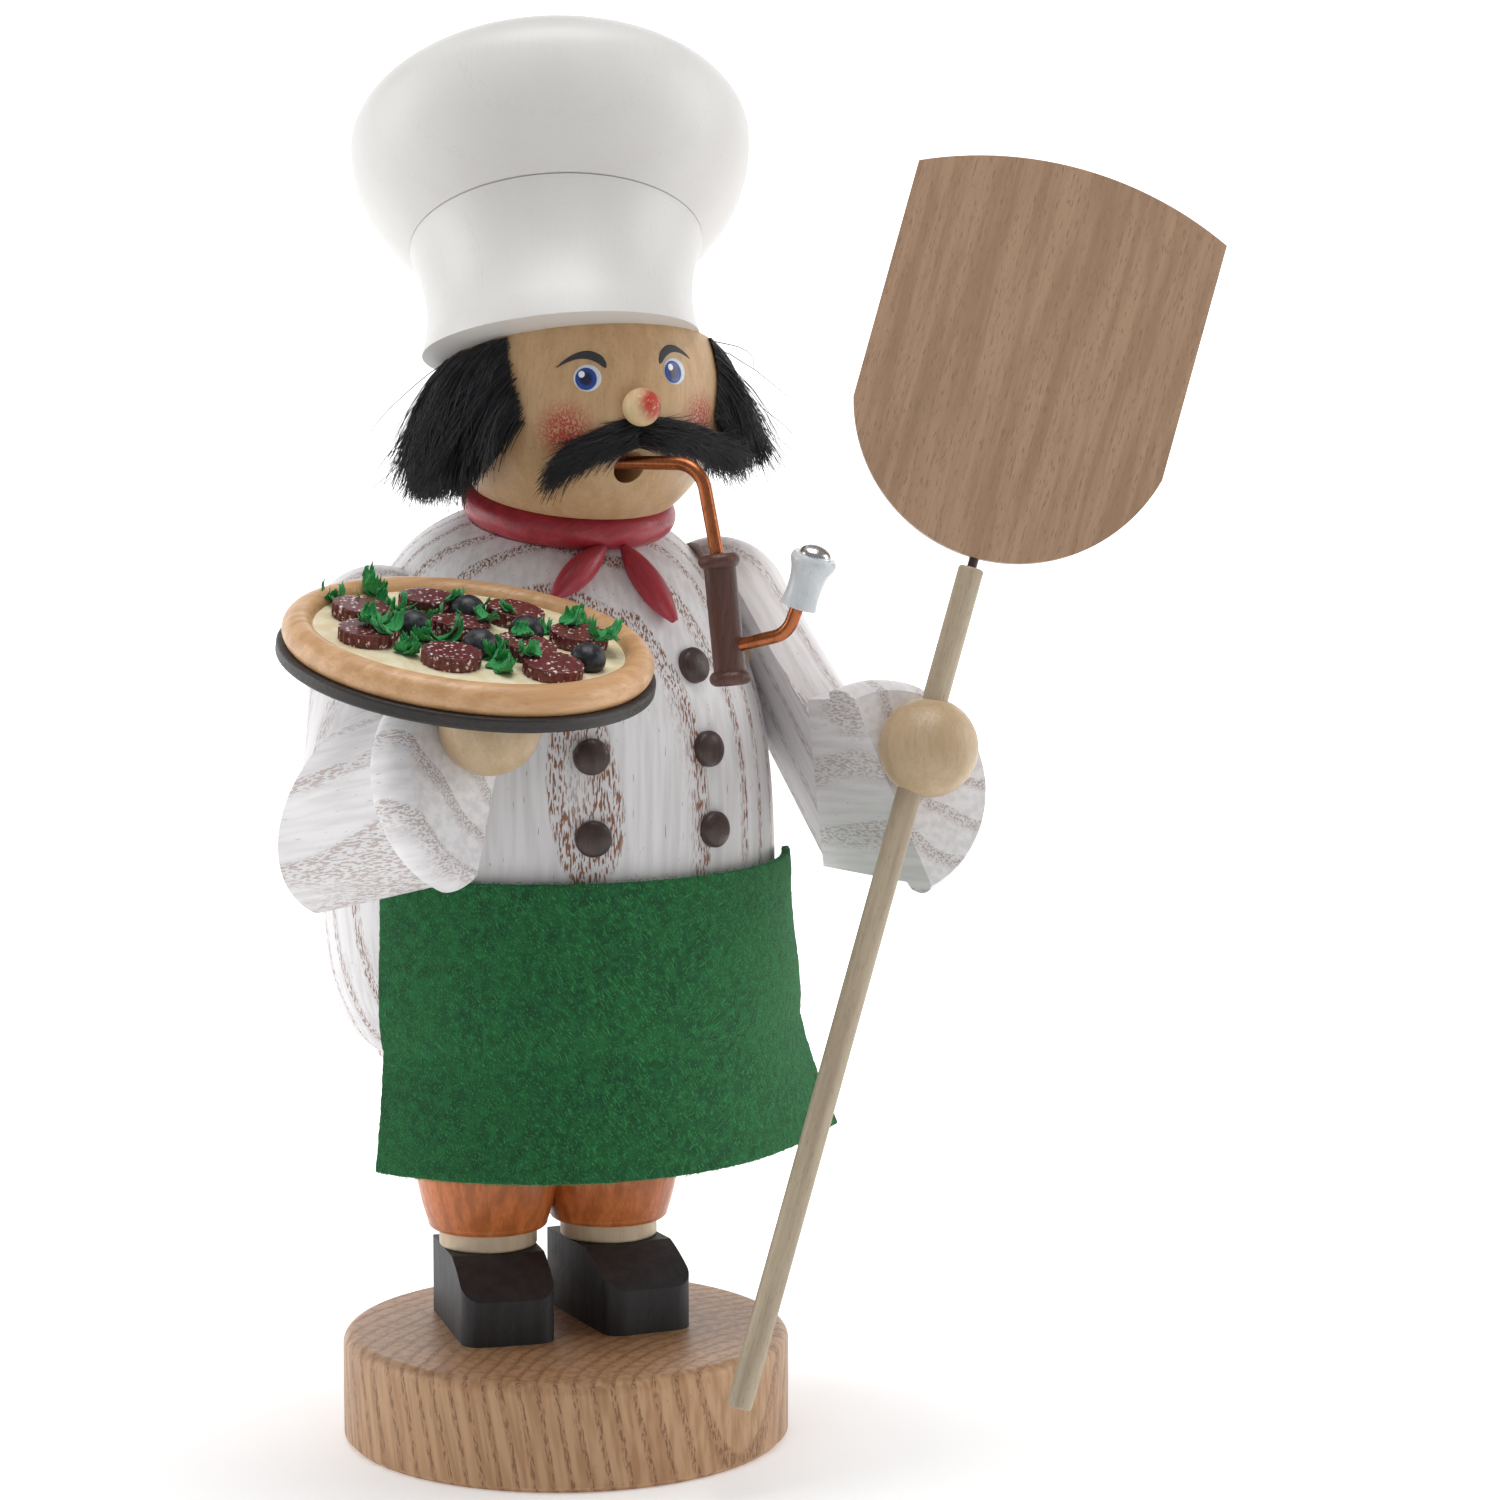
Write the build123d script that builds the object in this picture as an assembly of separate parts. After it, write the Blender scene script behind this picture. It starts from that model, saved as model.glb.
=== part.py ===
from build123d import *
import os
from math import cos, radians, sin

os.makedirs("parts", exist_ok=True)

# All sizes are millimetres. The origin is the middle of the base's underside, the figure faces -Y
# and its left hand is on the +X side.

# Round base disc
base_radius = 38.1
base_height = 18.5
base_top_round = 2.2
base_foot_chamfer = 1.0

# Upright axis of the turned body, a little behind the middle of the base
axis_x = 0.5
axis_y = 7.2

# Shoes, socks and trouser legs, turned as a pair on the body's axis
legs_turn = -7.4
leg_spacing = 21.8
legs_back = 1.2
shoe_length = 27.5
shoe_width = 16.0
shoe_height = 13.4
shoe_heel = 8.6
shoe_splay = 5.0
shoe_corner_round = 3.4
toe_height = 7.6
ramp_scoop = 0.5
sock_radius = 8.4
sock_height = 3.1
sock_round = 0.5
hem_radius = 10.3
hem_round = 1.1
leg_radius = 12.4
leg_height = 21.0

# Seat block that carries the hollow body on a round spigot
seat_radius = 26.0
seat_height = 10.0
seat_round = 2.5
spigot_height = 6.0
spigot_clearance = 0.25
spigot_chamfer = 1.0

# Hidden beech dowels
dowel_radius = 3.0
leg_dowel_base_depth = 9.0
leg_dowel_leg_depth = 10.0
hip_dowel_leg_depth = 8.0
hip_dowel_seat_depth = 7.0
arm_dowel_radius = 2.5
arm_dowel_depth = 7.0
arm_dowel_wall_depth = 6.5
hat_dowel_depth = 9.0

# Metal dish that holds the incense cone, nailed on the spigot
dish_radius = 16.0
dish_thickness = 0.8
dish_rim_height = 2.2
dish_rim_flare = 1.6
prong_count = 3
prong_ring_radius = 6.6
prong_width = 3.0
prong_height = 4.0
nail_radius = 0.7
nail_head_radius = 1.5
nail_head_height = 0.7
nail_length = 5.0
nail_ring_radius = 11.0
nail_count = 2

# Hollow turned jacket
jacket_radius = 38.7
jacket_height = 93.5
chamber_radius = 23.0
chamber_height = 60.0
chamber_roof_round = 6.0
flue_radius = 3.6
air_hole_radius = 4.0
air_hole_rise = 15.0

# Jacket outline: each pair is a share of its radius and a share of its height
jacket_outline_shares = (
    (0.775, 0.012),
    (0.875, 0.043),
    (0.930, 0.088),
    (0.975, 0.155),
    (1.000, 0.330),
    (0.972, 0.543),
    (0.889, 0.704),
    (0.773, 0.821),
    (0.646, 0.906),
    (0.447, 0.970),
    (0.250, 0.997),
)

# Fineness to which a place on the jacket's curve is found
curve_fineness = 0.02

# Buttons in two columns of three
button_radius = 3.0
button_height = 2.1
button_peg_radius = 1.0
button_peg_depth = 3.0
button_half_angle = 17.0
button_mid_angle = 3.0
button_rises = (41.0, 54.2, 67.7)

# Felt apron
apron_thickness = 1.3
apron_gap = 0.2
apron_top_rise = 34.0
apron_drop = 49.2
apron_half_angle = 68.0
apron_turn = 1.0
apron_front_flare = 5.5
apron_right_flare = 6.0
apron_left_flare = 13.2

# Neck: the head and the rolled scarf tilt forward on the jacket's slanted top
neck_x = 0.5
neck_y = -1.6
neck_z = 159.0
neck_tilt = 13.0
scarf_radius = 18.0
scarf_half_height = 3.0
tenon_radius = 8.0
tenon_depth = 6.0
tenon_clearance = 0.1

# Scarf ends, two turned drops that lie on the jacket
tip_radius = 2.4
tip_blunt = 0.6
tip_lift_share = 0.8
tip_fullest_share = 0.45
tip_root_angle = 1.0
tip_root_rise = 86.0
tip_root_spacing = 3.4
tip_right_angle = -23.0
tip_right_rise = 78.7
tip_left_angle = 15.0
tip_left_rise = 74.4

# Head ball, nose and mouth
head_radius = 23.4
head_x = 0.5
head_y = -7.0
head_z = 174.3
face_turn = -3.5
nose_radius = 3.1
nose_rise_angle = 5.3
nose_sink = 0.7
nose_peg_radius = 1.2
nose_peg_depth = 4.0
mouth_radius = 2.6
mouth_drop_angle = 18.8

# Hair and moustache, plain bodies of the fur's outer shape
hair_thickness = 7.0
hair_top_rise = 12.0
hair_drop = 14.0
moustache_radius = 2.4
moustache_offset = 1.6
moustache_tip_offset = 3.4
moustache_rise = -2.4
moustache_half_angle = 42.0
moustache_tip_drop = 6.6

# Section of the fur: shares of the head's radius for its inner wall, top, fullest part and foot
hair_wall_share = 0.6
hair_top_share = 1.02
hair_low_share = 1.25
hair_foot_share = 0.9

# Front edge of the fur seen from the side: shares of the head's radius forward and up
hair_front_shares = (
    (0.50, 0.60),
    (0.76, 0.15),
    (0.72, -0.10),
    (0.30, -0.27),
    (0.12, -0.70),
)

# Chef's hat, turned about its own leaning axis and sawn off at a slant
rim_x = 0.5
rim_y = -5.0
rim_z = 184.0
rim_tilt = 11.6
puff_x = 1.3
puff_y = 6.4
puff_z = 218.7
hat_lean = 27.4
hat_side_lean = 12.1
puff_radius = 33.4
puff_rise = 15.1
puff_drop = 27.4
crease_angle = 43.2
band_waist_radius = 22.1
band_waist_drop = 27.9
band_foot_radius = 23.8
band_foot_drop = 44.5

# Arms: half-round limbs whose flat sides lie against the jacket, both to one pattern
limb_radius = 16.8
elbow_radius = 15.4
upper_arm_radius = 12.1
cuff_radius = 18.5
cuff_end_radius = 16.9
cuff_length = 9.0
cuff_crest = 4.5
cuff_lip_share = 0.25
elbow_overlap_share = 1.6
upper_arm_narrow_share = 0.45
elbow_back = 29.9
elbow_rise = 1.2
shoulder_back = 40.4
shoulder_rise = 33.5
left_wrist = (37.7, -46.4, 113.5)
left_swing = -4.2
left_lift = 4.5
left_roll = 22.7
right_wrist = (-30.6, -40.5, 119.6)
right_swing = 16.5
right_lift = 15.8
right_roll = 26.3

# Ball hands on the cut ends of the forearms
hand_radius = 8.15
hand_forward = 5.3
hand_outward = 6.7
hand_rise = 5.3

# Round tray with the pizza, resting on the right hand
tray_centre = (-36.8, -43.3, 136.9)
tray_radius = 29.6
tray_thickness = 2.3
tray_round = 0.6
tray_pitch = 13.8
tray_roll = 1.7
tray_peg_radius = 1.5
tray_peg_hand_depth = 5.0
crust_radius = 29.0
crust_height = 4.4
crust_crest_radius = 26.6
crust_foot_radius = 28.2
crust_floor = 1.8
crust_fullest_share = 0.42
crust_inner_share = 0.3
cheese_radius = 24.3
cheese_thickness = 0.9
salami_radius = 4.6
salami_thickness = 1.3
olive_radius = 2.6
olive_sink = 0.5
parsley_length = 4.4
parsley_width = 2.6
parsley_thickness = 0.5
parsley_fold = 24.0
scatter_turn = 40.0

# Places on the cheese, each pair in shares of its radius
salami_place_shares = (
    (-0.558, 0.471),
    (-0.696, 0.013),
    (-0.029, 0.642),
    (-0.017, 0.129),
    (0.467, 0.358),
    (0.708, -0.129),
    (0.254, -0.313),
    (-0.321, -0.458),
    (0.267, -0.708),
)
olive_place_shares = (
    (-0.350, 0.096),
    (0.150, 0.400),
    (-0.058, -0.292),
    (0.375, -0.033),
    (0.558, -0.592),
)
parsley_place_shares = (
    (-0.375, 0.708),
    (-0.271, 0.346),
    (-0.370, -0.150),
    (-0.646, -0.313),
    (-0.035, -0.640),
    (0.740, 0.200),
    (0.729, -0.458),
    (-0.083, -0.833),
    (0.271, 0.688),
)

# Pizza peel: round handle through the left hand, pinned to a flat blade
handle_radius = 2.1
handle_foot = (6.7, -51.4, 15.8)
handle_top = (49.4, -51.4, 150.4)
handle_round = 0.5
pin_radius = 0.8
pin_gap = 1.6
pin_depth = 5.0
blade_half_width = 26.0
blade_side_length = 39.7
blade_foot_rise = 20.3
blade_top_rise = 5.7
blade_thickness = 2.4
blade_turn = -28.2

# Tobacco pipe in an upright plane that leaves the mouth towards the figure's left
pipe_turn = 40.0
wire_lift = 0.9
wire_radius = 1.1
stem_inset = 5.0
stem_reach = 11.8
stem_bend_radius = 5.0
barrel_radius = 2.6
barrel_collar_radius = 3.4
barrel_collar_height = 2.3
barrel_top_reach = 14.9
barrel_top_drop = 14.3
barrel_foot_reach = 17.1
barrel_foot_drop = 35.4
wire_socket_depth = 2.5
arm_wire_rise = 6.0
arm_wire_reach = 26.8
arm_wire_drop = 26.8
arm_bend_radius = 4.5
bowl_foot_reach = 28.7
bowl_foot_drop = 22.3
bowl_top_reach = 31.6
bowl_top_drop = 14.2
bowl_foot_radius = 3.0
bowl_waist_radius = 2.75
bowl_rim_radius = 3.75
bowl_lip_share = 0.12
bowl_waist_share = 0.4
bowl_mouth_share = 0.9
cap_radius = 2.65
cap_height = 1.7

# One overrun for every through cut
overrun = 60.0

# Heights that follow from the stacked pieces
shoe_top_z = base_height + shoe_height
hem_z = shoe_top_z + sock_height
seat_z = hem_z + leg_height
jacket_z = seat_z + seat_height
spigot_radius = chamber_radius - spigot_clearance
spigot_top_z = jacket_z + spigot_height

upright = Location((axis_x, axis_y, 0))
neck_plane = Plane(
    origin=(neck_x, neck_y, neck_z),
    x_dir=(1, 0, 0),
    z_dir=(0, -sin(radians(neck_tilt)), cos(radians(neck_tilt))),
)
collar_plane = neck_plane.offset(-scarf_half_height)
rim_plane = Plane(
    origin=(rim_x, rim_y, rim_z),
    x_dir=(1, 0, 0),
    z_dir=(0, sin(radians(rim_tilt)), cos(radians(rim_tilt))),
)
head_centre = Vector(head_x, head_y, head_z)


def turned(edges):
    """Solid turned about Z from a closed outline drawn as radius and height."""
    return revolve(Plane.XZ * make_face(edges), Axis.Z)


def dome(radius, foot, height):
    """Quarter of an ellipse from the widest radius up to the axis."""
    round_share = 0.5523
    return Bezier(
        (radius, foot),
        (radius, foot + height * round_share),
        (radius * round_share, foot + height),
        (0, foot + height),
    )


def shaft(start, end, radius):
    """Straight round rod from one point to another."""
    along = Vector(*end) - Vector(*start)
    rod = Cylinder(radius, along.length, align=(Align.CENTER, Align.CENTER, Align.MIN))
    return Plane(origin=start, z_dir=along) * rod


def ball(centre, radius):
    return Pos(*centre) * Sphere(radius)


def write(node, shape):
    """One STEP file for a node, with a plain compound where it has several solids."""
    solids = shape.solids()
    body = solids[0] if len(solids) == 1 else Compound(solids)
    export_step(body, f"parts/{node}.step")


# Lower body


def leg_frame(side):
    """Foot of one leg on the base's top; side is 1 on the figure's left and -1 on its right."""
    pair = upright * Location((0, 0, 0), (0, 0, legs_turn))
    return pair * Pos(side * leg_spacing / 2, legs_back, base_height)


def leg_dowel(side):
    """Dowel from inside the base through shoe and sock into the trouser leg."""
    length = leg_dowel_base_depth + shoe_height + sock_height + leg_dowel_leg_depth
    rod = Cylinder(dowel_radius, length, align=(Align.CENTER, Align.CENTER, Align.MIN))
    return leg_frame(side) * Pos(0, 0, -leg_dowel_base_depth) * rod


def hip_dowel(side):
    """Dowel from the top of a trouser leg into the seat block."""
    length = hip_dowel_leg_depth + hip_dowel_seat_depth
    rod = Cylinder(dowel_radius, length, align=(Align.CENTER, Align.CENTER, Align.MIN))
    foot = seat_z - base_height - hip_dowel_leg_depth
    return leg_frame(side) * Pos(0, 0, foot) * rod


def make_base():
    disc = Cylinder(base_radius, base_height, align=(Align.CENTER, Align.CENTER, Align.MIN))
    rims = disc.edges().sort_by(Axis.Z)
    disc = chamfer(rims[0], base_foot_chamfer)
    disc = fillet(disc.edges().sort_by(Axis.Z)[-1], base_top_round)
    return disc - leg_dowel(-1) - leg_dowel(1)


def make_shoe(side):
    """Block shoe: level under the sock, then a scooped slope to a low rounded toe."""
    heel = shoe_heel
    toe = -(shoe_length - shoe_heel)
    ramp = -sock_radius
    outline = [
        Line((heel, 0), (toe, 0)),
        Line((toe, 0), (toe, toe_height)),
        SagittaArc((toe, toe_height), (ramp, shoe_height), ramp_scoop),
        Line((ramp, shoe_height), (heel, shoe_height)),
        Line((heel, shoe_height), (heel, 0)),
    ]
    shoe = extrude(Plane.YZ * make_face(outline), shoe_width / 2, both=True)
    corners = shoe.edges().filter_by(Axis.Z).group_by(Axis.Y)[0]
    shoe = fillet(corners, shoe_corner_round)
    placed = leg_frame(side) * Rot(0, 0, side * shoe_splay) * shoe
    return placed - leg_dowel(side)


def make_sock(side):
    sock = Cylinder(sock_radius, sock_height, align=(Align.CENTER, Align.CENTER, Align.MIN))
    sock = fillet(sock.edges().sort_by(Axis.Z)[0], sock_round)
    return leg_frame(side) * Pos(0, 0, shoe_height) * sock - leg_dowel(side)


def make_leg(side):
    """Turned trouser leg with a rounded hem, planed flat where it meets the other leg."""
    outline = [
        Line((0, 0), (hem_radius - hem_round, 0)),
        RadiusArc((hem_radius - hem_round, 0), (hem_radius, hem_round), -hem_round),
        Spline((hem_radius, hem_round), (leg_radius, leg_height / 2), (leg_radius, leg_height)),
        Line((leg_radius, leg_height), (0, leg_height)),
        Line((0, leg_height), (0, 0)),
    ]
    leg = Pos(0, 0, shoe_height + sock_height) * turned(outline)
    other_half = Box(overrun, overrun, overrun * 2)
    other_half = Pos(-side * (leg_spacing + overrun) / 2, 0, 0) * other_half
    return leg_frame(side) * (leg - other_half) - leg_dowel(side) - hip_dowel(side)


def make_seat():
    """Seat block with the spigot that the hollow body drops over."""
    outline = [
        Line((0, 0), (seat_radius - seat_round, 0)),
        RadiusArc((seat_radius - seat_round, 0), (seat_radius, seat_round), -seat_round),
        Line((seat_radius, seat_round), (seat_radius, seat_height)),
        Line((seat_radius, seat_height), (spigot_radius, seat_height)),
        Polyline(
            (spigot_radius, seat_height),
            (spigot_radius, seat_height + spigot_height - spigot_chamfer),
            (spigot_radius - spigot_chamfer, seat_height + spigot_height),
            (0, seat_height + spigot_height),
            (0, 0),
        ),
    ]
    seat = upright * Pos(0, 0, seat_z) * turned(outline)
    return seat - hip_dowel(-1) - hip_dowel(1) - make_nails()


def nail_places():
    return PolarLocations(nail_ring_radius, nail_count)


def make_nails():
    """Round-headed nails through the dish into the spigot."""
    head = Cylinder(nail_head_radius, nail_head_height, align=(Align.CENTER, Align.CENTER, Align.MIN))
    shank = Cylinder(nail_radius, nail_length, align=(Align.CENTER, Align.CENTER, Align.MAX))
    nail = Pos(0, 0, dish_thickness) * (head + shank)
    placed = [upright * Pos(0, 0, spigot_top_z) * spot * nail for spot in nail_places()]
    return Compound([solid for part in placed for solid in part.solids()])


def make_dish():
    """Pressed dish with a flared rim and three upright prongs round the cone's foot."""
    lip = dish_radius
    floor = dish_radius - dish_rim_flare
    outline = Polyline(
        (0, 0),
        (floor, 0),
        (lip, dish_rim_height),
        (lip - dish_thickness, dish_rim_height),
        (floor - dish_thickness, dish_thickness),
        (0, dish_thickness),
        close=True,
    )
    dish = turned([outline])
    prong_outline = Polyline(
        (-prong_width / 2, dish_thickness / 2),
        (prong_width / 2, dish_thickness / 2),
        (0, dish_thickness + prong_height),
        close=True,
    )
    prong = extrude(Plane.YZ * make_face([prong_outline]), dish_thickness / 2, both=True)
    for spot in PolarLocations(prong_ring_radius, prong_count, start_angle=90):
        dish += spot * prong
    return upright * Pos(0, 0, spigot_top_z) * dish - make_nails()


# Jacket, buttons and apron


def jacket_outline():
    """Outer curve of the jacket from the foot to the crown, as radius and height."""
    points = [(r * jacket_radius, h * jacket_height) for r, h in jacket_outline_shares]
    return Spline(*points)


jacket_curve = jacket_outline()


def jacket_spot(height):
    """Radius and outward slope of the jacket at a height above its foot."""
    low, high = 0, 1
    while jacket_curve.position_at(high).Y - jacket_curve.position_at(low).Y > curve_fineness:
        middle = (low + high) / 2
        if jacket_curve.position_at(middle).Y < height:
            low = middle
        else:
            high = middle
    tangent = jacket_curve.tangent_at(low)
    return jacket_curve.position_at(low).X, Vector(tangent.Y, -tangent.X)


def over_jacket(angle, rise, lift):
    """Point at a height above the jacket's foot, lifted square to the surface."""
    radius, slope = jacket_spot(rise)
    turn = radians(angle)
    out = Vector(sin(turn), -cos(turn), 0)
    surface = Vector(axis_x, axis_y, jacket_z + rise) + out * radius
    return surface + (out * slope.X + Vector(0, 0, slope.Y)) * lift


def jacket_body():
    """Solid jacket before it is bored, sawn and drilled."""
    foot = jacket_curve.position_at(0)
    crown = jacket_curve.position_at(1)
    outline = [
        Polyline((0, 0), (foot.X, 0), (foot.X, foot.Y)),
        jacket_curve,
        Polyline((crown.X, crown.Y), (0, crown.Y), (0, 0)),
    ]
    return upright * Pos(0, 0, jacket_z) * turned(outline)


def chamber():
    """Smoke chamber bored from below, with a rounded roof and a flue up to the neck."""
    bore = Cylinder(chamber_radius, chamber_height, align=(Align.CENTER, Align.CENTER, Align.MIN))
    bore = fillet(bore.edges().sort_by(Axis.Z)[-1], chamber_roof_round)
    return upright * Pos(0, 0, jacket_z) * bore


def flue():
    """Flue along the neck's axis from the chamber up to the mouth's level."""
    below = neck_z - jacket_z - chamber_height
    head_rise = (head_centre - neck_plane.origin).dot(neck_plane.z_dir)
    above = head_rise - head_radius * sin(radians(mouth_drop_angle))
    start = neck_plane.from_local_coords((0, 0, -below))
    end = neck_plane.from_local_coords((0, 0, above))
    return shaft(start, end, flue_radius)


def air_hole():
    """Draught hole through the back of the jacket."""
    start = (axis_x, axis_y, jacket_z + air_hole_rise)
    end = (axis_x, axis_y + jacket_radius + air_hole_radius, jacket_z + air_hole_rise)
    return shaft(start, end, air_hole_radius)


def button_planes():
    """Outward-facing plane of each button on the jacket's surface."""
    planes = []
    for side in (-1, 1):
        turn = radians(button_mid_angle + side * button_half_angle)
        out = Vector(sin(turn), -cos(turn), 0)
        for rise in button_rises:
            radius, slope = jacket_spot(rise)
            place = Vector(axis_x, axis_y, jacket_z + rise) + out * radius
            planes.append(Plane(origin=place, z_dir=out * slope.X + Vector(0, 0, slope.Y)))
    return planes


def button_peg():
    """Peg from inside a button's dome down into the jacket."""
    length = button_peg_depth + button_height / 2
    peg = Cylinder(button_peg_radius, length, align=(Align.CENTER, Align.CENTER, Align.MIN))
    return Pos(0, 0, -button_peg_depth) * peg


def make_buttons():
    """Domed buttons, hollowed to the jacket's curve, each with a peg."""
    sink = button_height / 4
    outline = [
        Line((0, -sink), (button_radius, -sink)),
        Line((button_radius, -sink), (button_radius, button_height / 3)),
        dome(button_radius, button_height / 3, button_height * 2 / 3),
        Line((0, button_height), (0, -sink)),
    ]
    top = turned(outline)
    body = jacket_body()
    return Compound([(plane * top - body + plane * button_peg()).solid() for plane in button_planes()])


def make_jacket(arms):
    """Bored jacket with a slanted top, arm seats, a draught hole and drilled peg holes."""
    jacket = jacket_body()
    jacket = split(jacket, bisect_by=collar_plane, keep=Keep.BOTTOM)
    jacket = jacket - chamber() - flue() - air_hole()
    jacket = jacket - collar_plane * Cylinder(
        tenon_radius + tenon_clearance,
        tenon_depth + tenon_clearance,
        align=(Align.CENTER, Align.CENTER, Align.MAX),
    )
    for piece in arms:
        jacket = jacket - piece
    for plane in button_planes():
        jacket = jacket - plane * button_peg()
    return jacket


def apron_section(drop_share):
    """Closed outline of the felt at one height: two arcs a side, flared towards the hem."""
    z = jacket_z + apron_top_rise - drop_share * apron_drop
    near = jacket_spot(max(z - jacket_z, seat_round * 2))[0]
    widest = jacket_spot(apron_top_rise)[0]
    base = max(near, widest * (1 - drop_share) + near * drop_share) + apron_gap
    flare_share = drop_share**2

    def point(angle_share, offset):
        angle = radians(apron_turn + apron_half_angle * angle_share)
        corner = apron_left_flare if angle_share > 0 else apron_right_flare
        flare = apron_front_flare + (corner - apron_front_flare) * angle_share**4
        radius = base + flare * flare_share + offset
        return (axis_x + radius * sin(angle), axis_y - radius * cos(angle), z)

    shares = (-1, -0.75, -0.5, -0.25, 0, 0.25, 0.5, 0.75, 1)
    inner = [point(share, 0) for share in shares]
    outer = [point(share, apron_thickness) for share in shares]
    edges = [ThreePointArc(*inner[i : i + 3]) for i in (0, 2, 4, 6)]
    edges += [Line(inner[-1], outer[-1])]
    edges += [ThreePointArc(*reversed(outer[i : i + 3])) for i in (6, 4, 2, 0)]
    edges += [Line(outer[0], inner[0])]
    return make_face(edges)


def make_apron():
    """Felt apron glued round the front, its main fold the flare of the two lower corners."""
    levels = (0, 0.3, 0.6, 0.8, 1)
    return loft([apron_section(level) for level in levels])


# Head


def head_ball():
    return ball(head_centre, head_radius)


def face_direction(angle, rise_angle):
    """Direction from the head's middle, turned from the middle of the face and raised."""
    turn = radians(face_turn + angle)
    rise = radians(rise_angle)
    return Vector(sin(turn) * cos(rise), -cos(turn) * cos(rise), sin(rise))


def mouth_centre():
    return head_centre + face_direction(0, -mouth_drop_angle) * head_radius


def nose_peg():
    """Peg from inside the nose into the head."""
    out = face_direction(0, nose_rise_angle)
    start = head_centre + out * (head_radius - nose_peg_depth)
    return shaft(start, head_centre + out * (head_radius + nose_radius), nose_peg_radius)


def nose_ball():
    reach = head_radius + nose_radius - nose_sink
    return ball(head_centre + face_direction(0, nose_rise_angle) * reach, nose_radius)


def make_head(stem):
    """Head ball sawn flat under the hat and at the neck, with a hollow tenon and a mouth."""
    head = split(head_ball(), bisect_by=rim_plane, keep=Keep.BOTTOM)
    head = split(head, bisect_by=collar_plane, keep=Keep.TOP)
    tenon = Cylinder(tenon_radius, tenon_depth, align=(Align.CENTER, Align.CENTER, Align.MAX))
    head = head + collar_plane * tenon
    mouth = mouth_centre()
    bore = shaft((mouth.X, mouth.Y - mouth_radius, mouth.Z), (mouth.X, neck_y, mouth.Z), mouth_radius)
    return head - flue() - bore - nose_peg() - hat_dowel() - stem


def make_nose():
    return nose_ball() - head_ball() + nose_peg()


def make_scarf():
    """Rolled scarf: a ring with a half-round edge, hollowed to the ball of the head."""
    middle = scarf_radius - scarf_half_height
    inner = tenon_radius + scarf_half_height
    outline = [
        Line((inner, -scarf_half_height), (middle, -scarf_half_height)),
        ThreePointArc((middle, -scarf_half_height), (scarf_radius, 0), (middle, scarf_half_height)),
        Line((middle, scarf_half_height), (inner, scarf_half_height)),
        Line((inner, scarf_half_height), (inner, -scarf_half_height)),
    ]
    ring = neck_plane * turned(outline)
    ring = ring - head_ball()
    return ring.solids().sort_by(SortBy.VOLUME)[-1]


def make_scarf_tip(side, angle, rise, ring):
    """Turned drop, fullest near its middle, lying on the jacket under the ring."""
    lift = tip_radius * tip_lift_share
    root = over_jacket(tip_root_angle, tip_root_rise, lift) + Vector(side * tip_root_spacing / 2, 0, 0)
    along = over_jacket(angle, rise, lift) - root
    length = along.length
    outline = [
        Line((0, 0), (tip_blunt, 0)),
        Spline((tip_blunt, 0), (tip_radius, length * tip_fullest_share), (tip_blunt, length)),
        Polyline((tip_blunt, length), (0, length), (0, 0)),
    ]
    drop = Plane(origin=root, z_dir=along) * turned(outline)
    drop = drop - jacket_body() - ring - head_ball()
    return drop.solids().sort_by(SortBy.VOLUME)[-1]


def hair_profile():
    """Outer shape of the fur round the head, as radius and height from the head's middle."""
    inner = head_radius * hair_wall_share
    outer = head_radius + hair_thickness
    top = head_radius * hair_top_share
    low = head_radius * hair_low_share
    foot = head_radius * hair_foot_share
    return [
        Line((inner, hair_top_rise), (top, hair_top_rise)),
        Spline((top, hair_top_rise), (outer, 0), (low, -hair_drop / 2), (foot, -hair_drop)),
        Line((foot, -hair_drop), (inner, -hair_drop)),
        Line((inner, -hair_drop), (inner, hair_top_rise)),
    ]


def make_hair(ring):
    """Fur from one temple round the back of the head to the other, its front edges slanted back."""
    front = [(-y * head_radius, z * head_radius) for y, z in hair_front_shares]
    back = head_radius * 2
    side_outline = Polyline(*front, (back, -back), (back, back), (front[0][0], back), close=True)
    kept = extrude(Plane.YZ * make_face([side_outline]), back, both=True)
    fur = turned(hair_profile()) & kept
    fur = Pos(*head_centre) * Rot(0, 0, face_turn) * fur
    fur = split(fur, bisect_by=rim_plane, keep=Keep.BOTTOM)
    fur = fur - head_ball() - jacket_body() - ring
    return fur.solids().sort_by(SortBy.VOLUME)[-1]


def make_moustache():
    """Two drooping tufts that meet under the nose, lofted through round sections."""
    stations = (-1, -0.6, -0.2, 0.2, 0.6, 1)
    size_shares = (0.25, 0.85, 1.0, 1.0, 0.85, 0.25)
    sections = []
    for station, size_share in zip(stations, size_shares):
        turn = radians(face_turn + moustache_half_angle * station)
        stand_off = moustache_offset + (moustache_tip_offset - moustache_offset) * station * station
        radius = head_radius + stand_off
        drop = moustache_tip_drop * station * station
        along = Vector(cos(turn), sin(turn), 0)
        place = head_centre + Vector(radius * sin(turn), -radius * cos(turn), moustache_rise - drop)
        circle = Circle(moustache_radius * size_share)
        sections.append(Plane(origin=place, z_dir=along) * circle)
    tufts = loft(sections) - head_ball() - nose_ball() - make_stem()
    return tufts.solids().sort_by(SortBy.VOLUME)[-1]


# Hat


def hat_plane():
    """Plane through the fullest part of the puff, square to the hat's own axis."""
    lean = radians(hat_lean)
    side = radians(hat_side_lean)
    axis = Vector(cos(lean) * sin(side), sin(lean), cos(lean) * cos(side))
    return Plane(origin=(puff_x, puff_y, puff_z), z_dir=axis)


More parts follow.
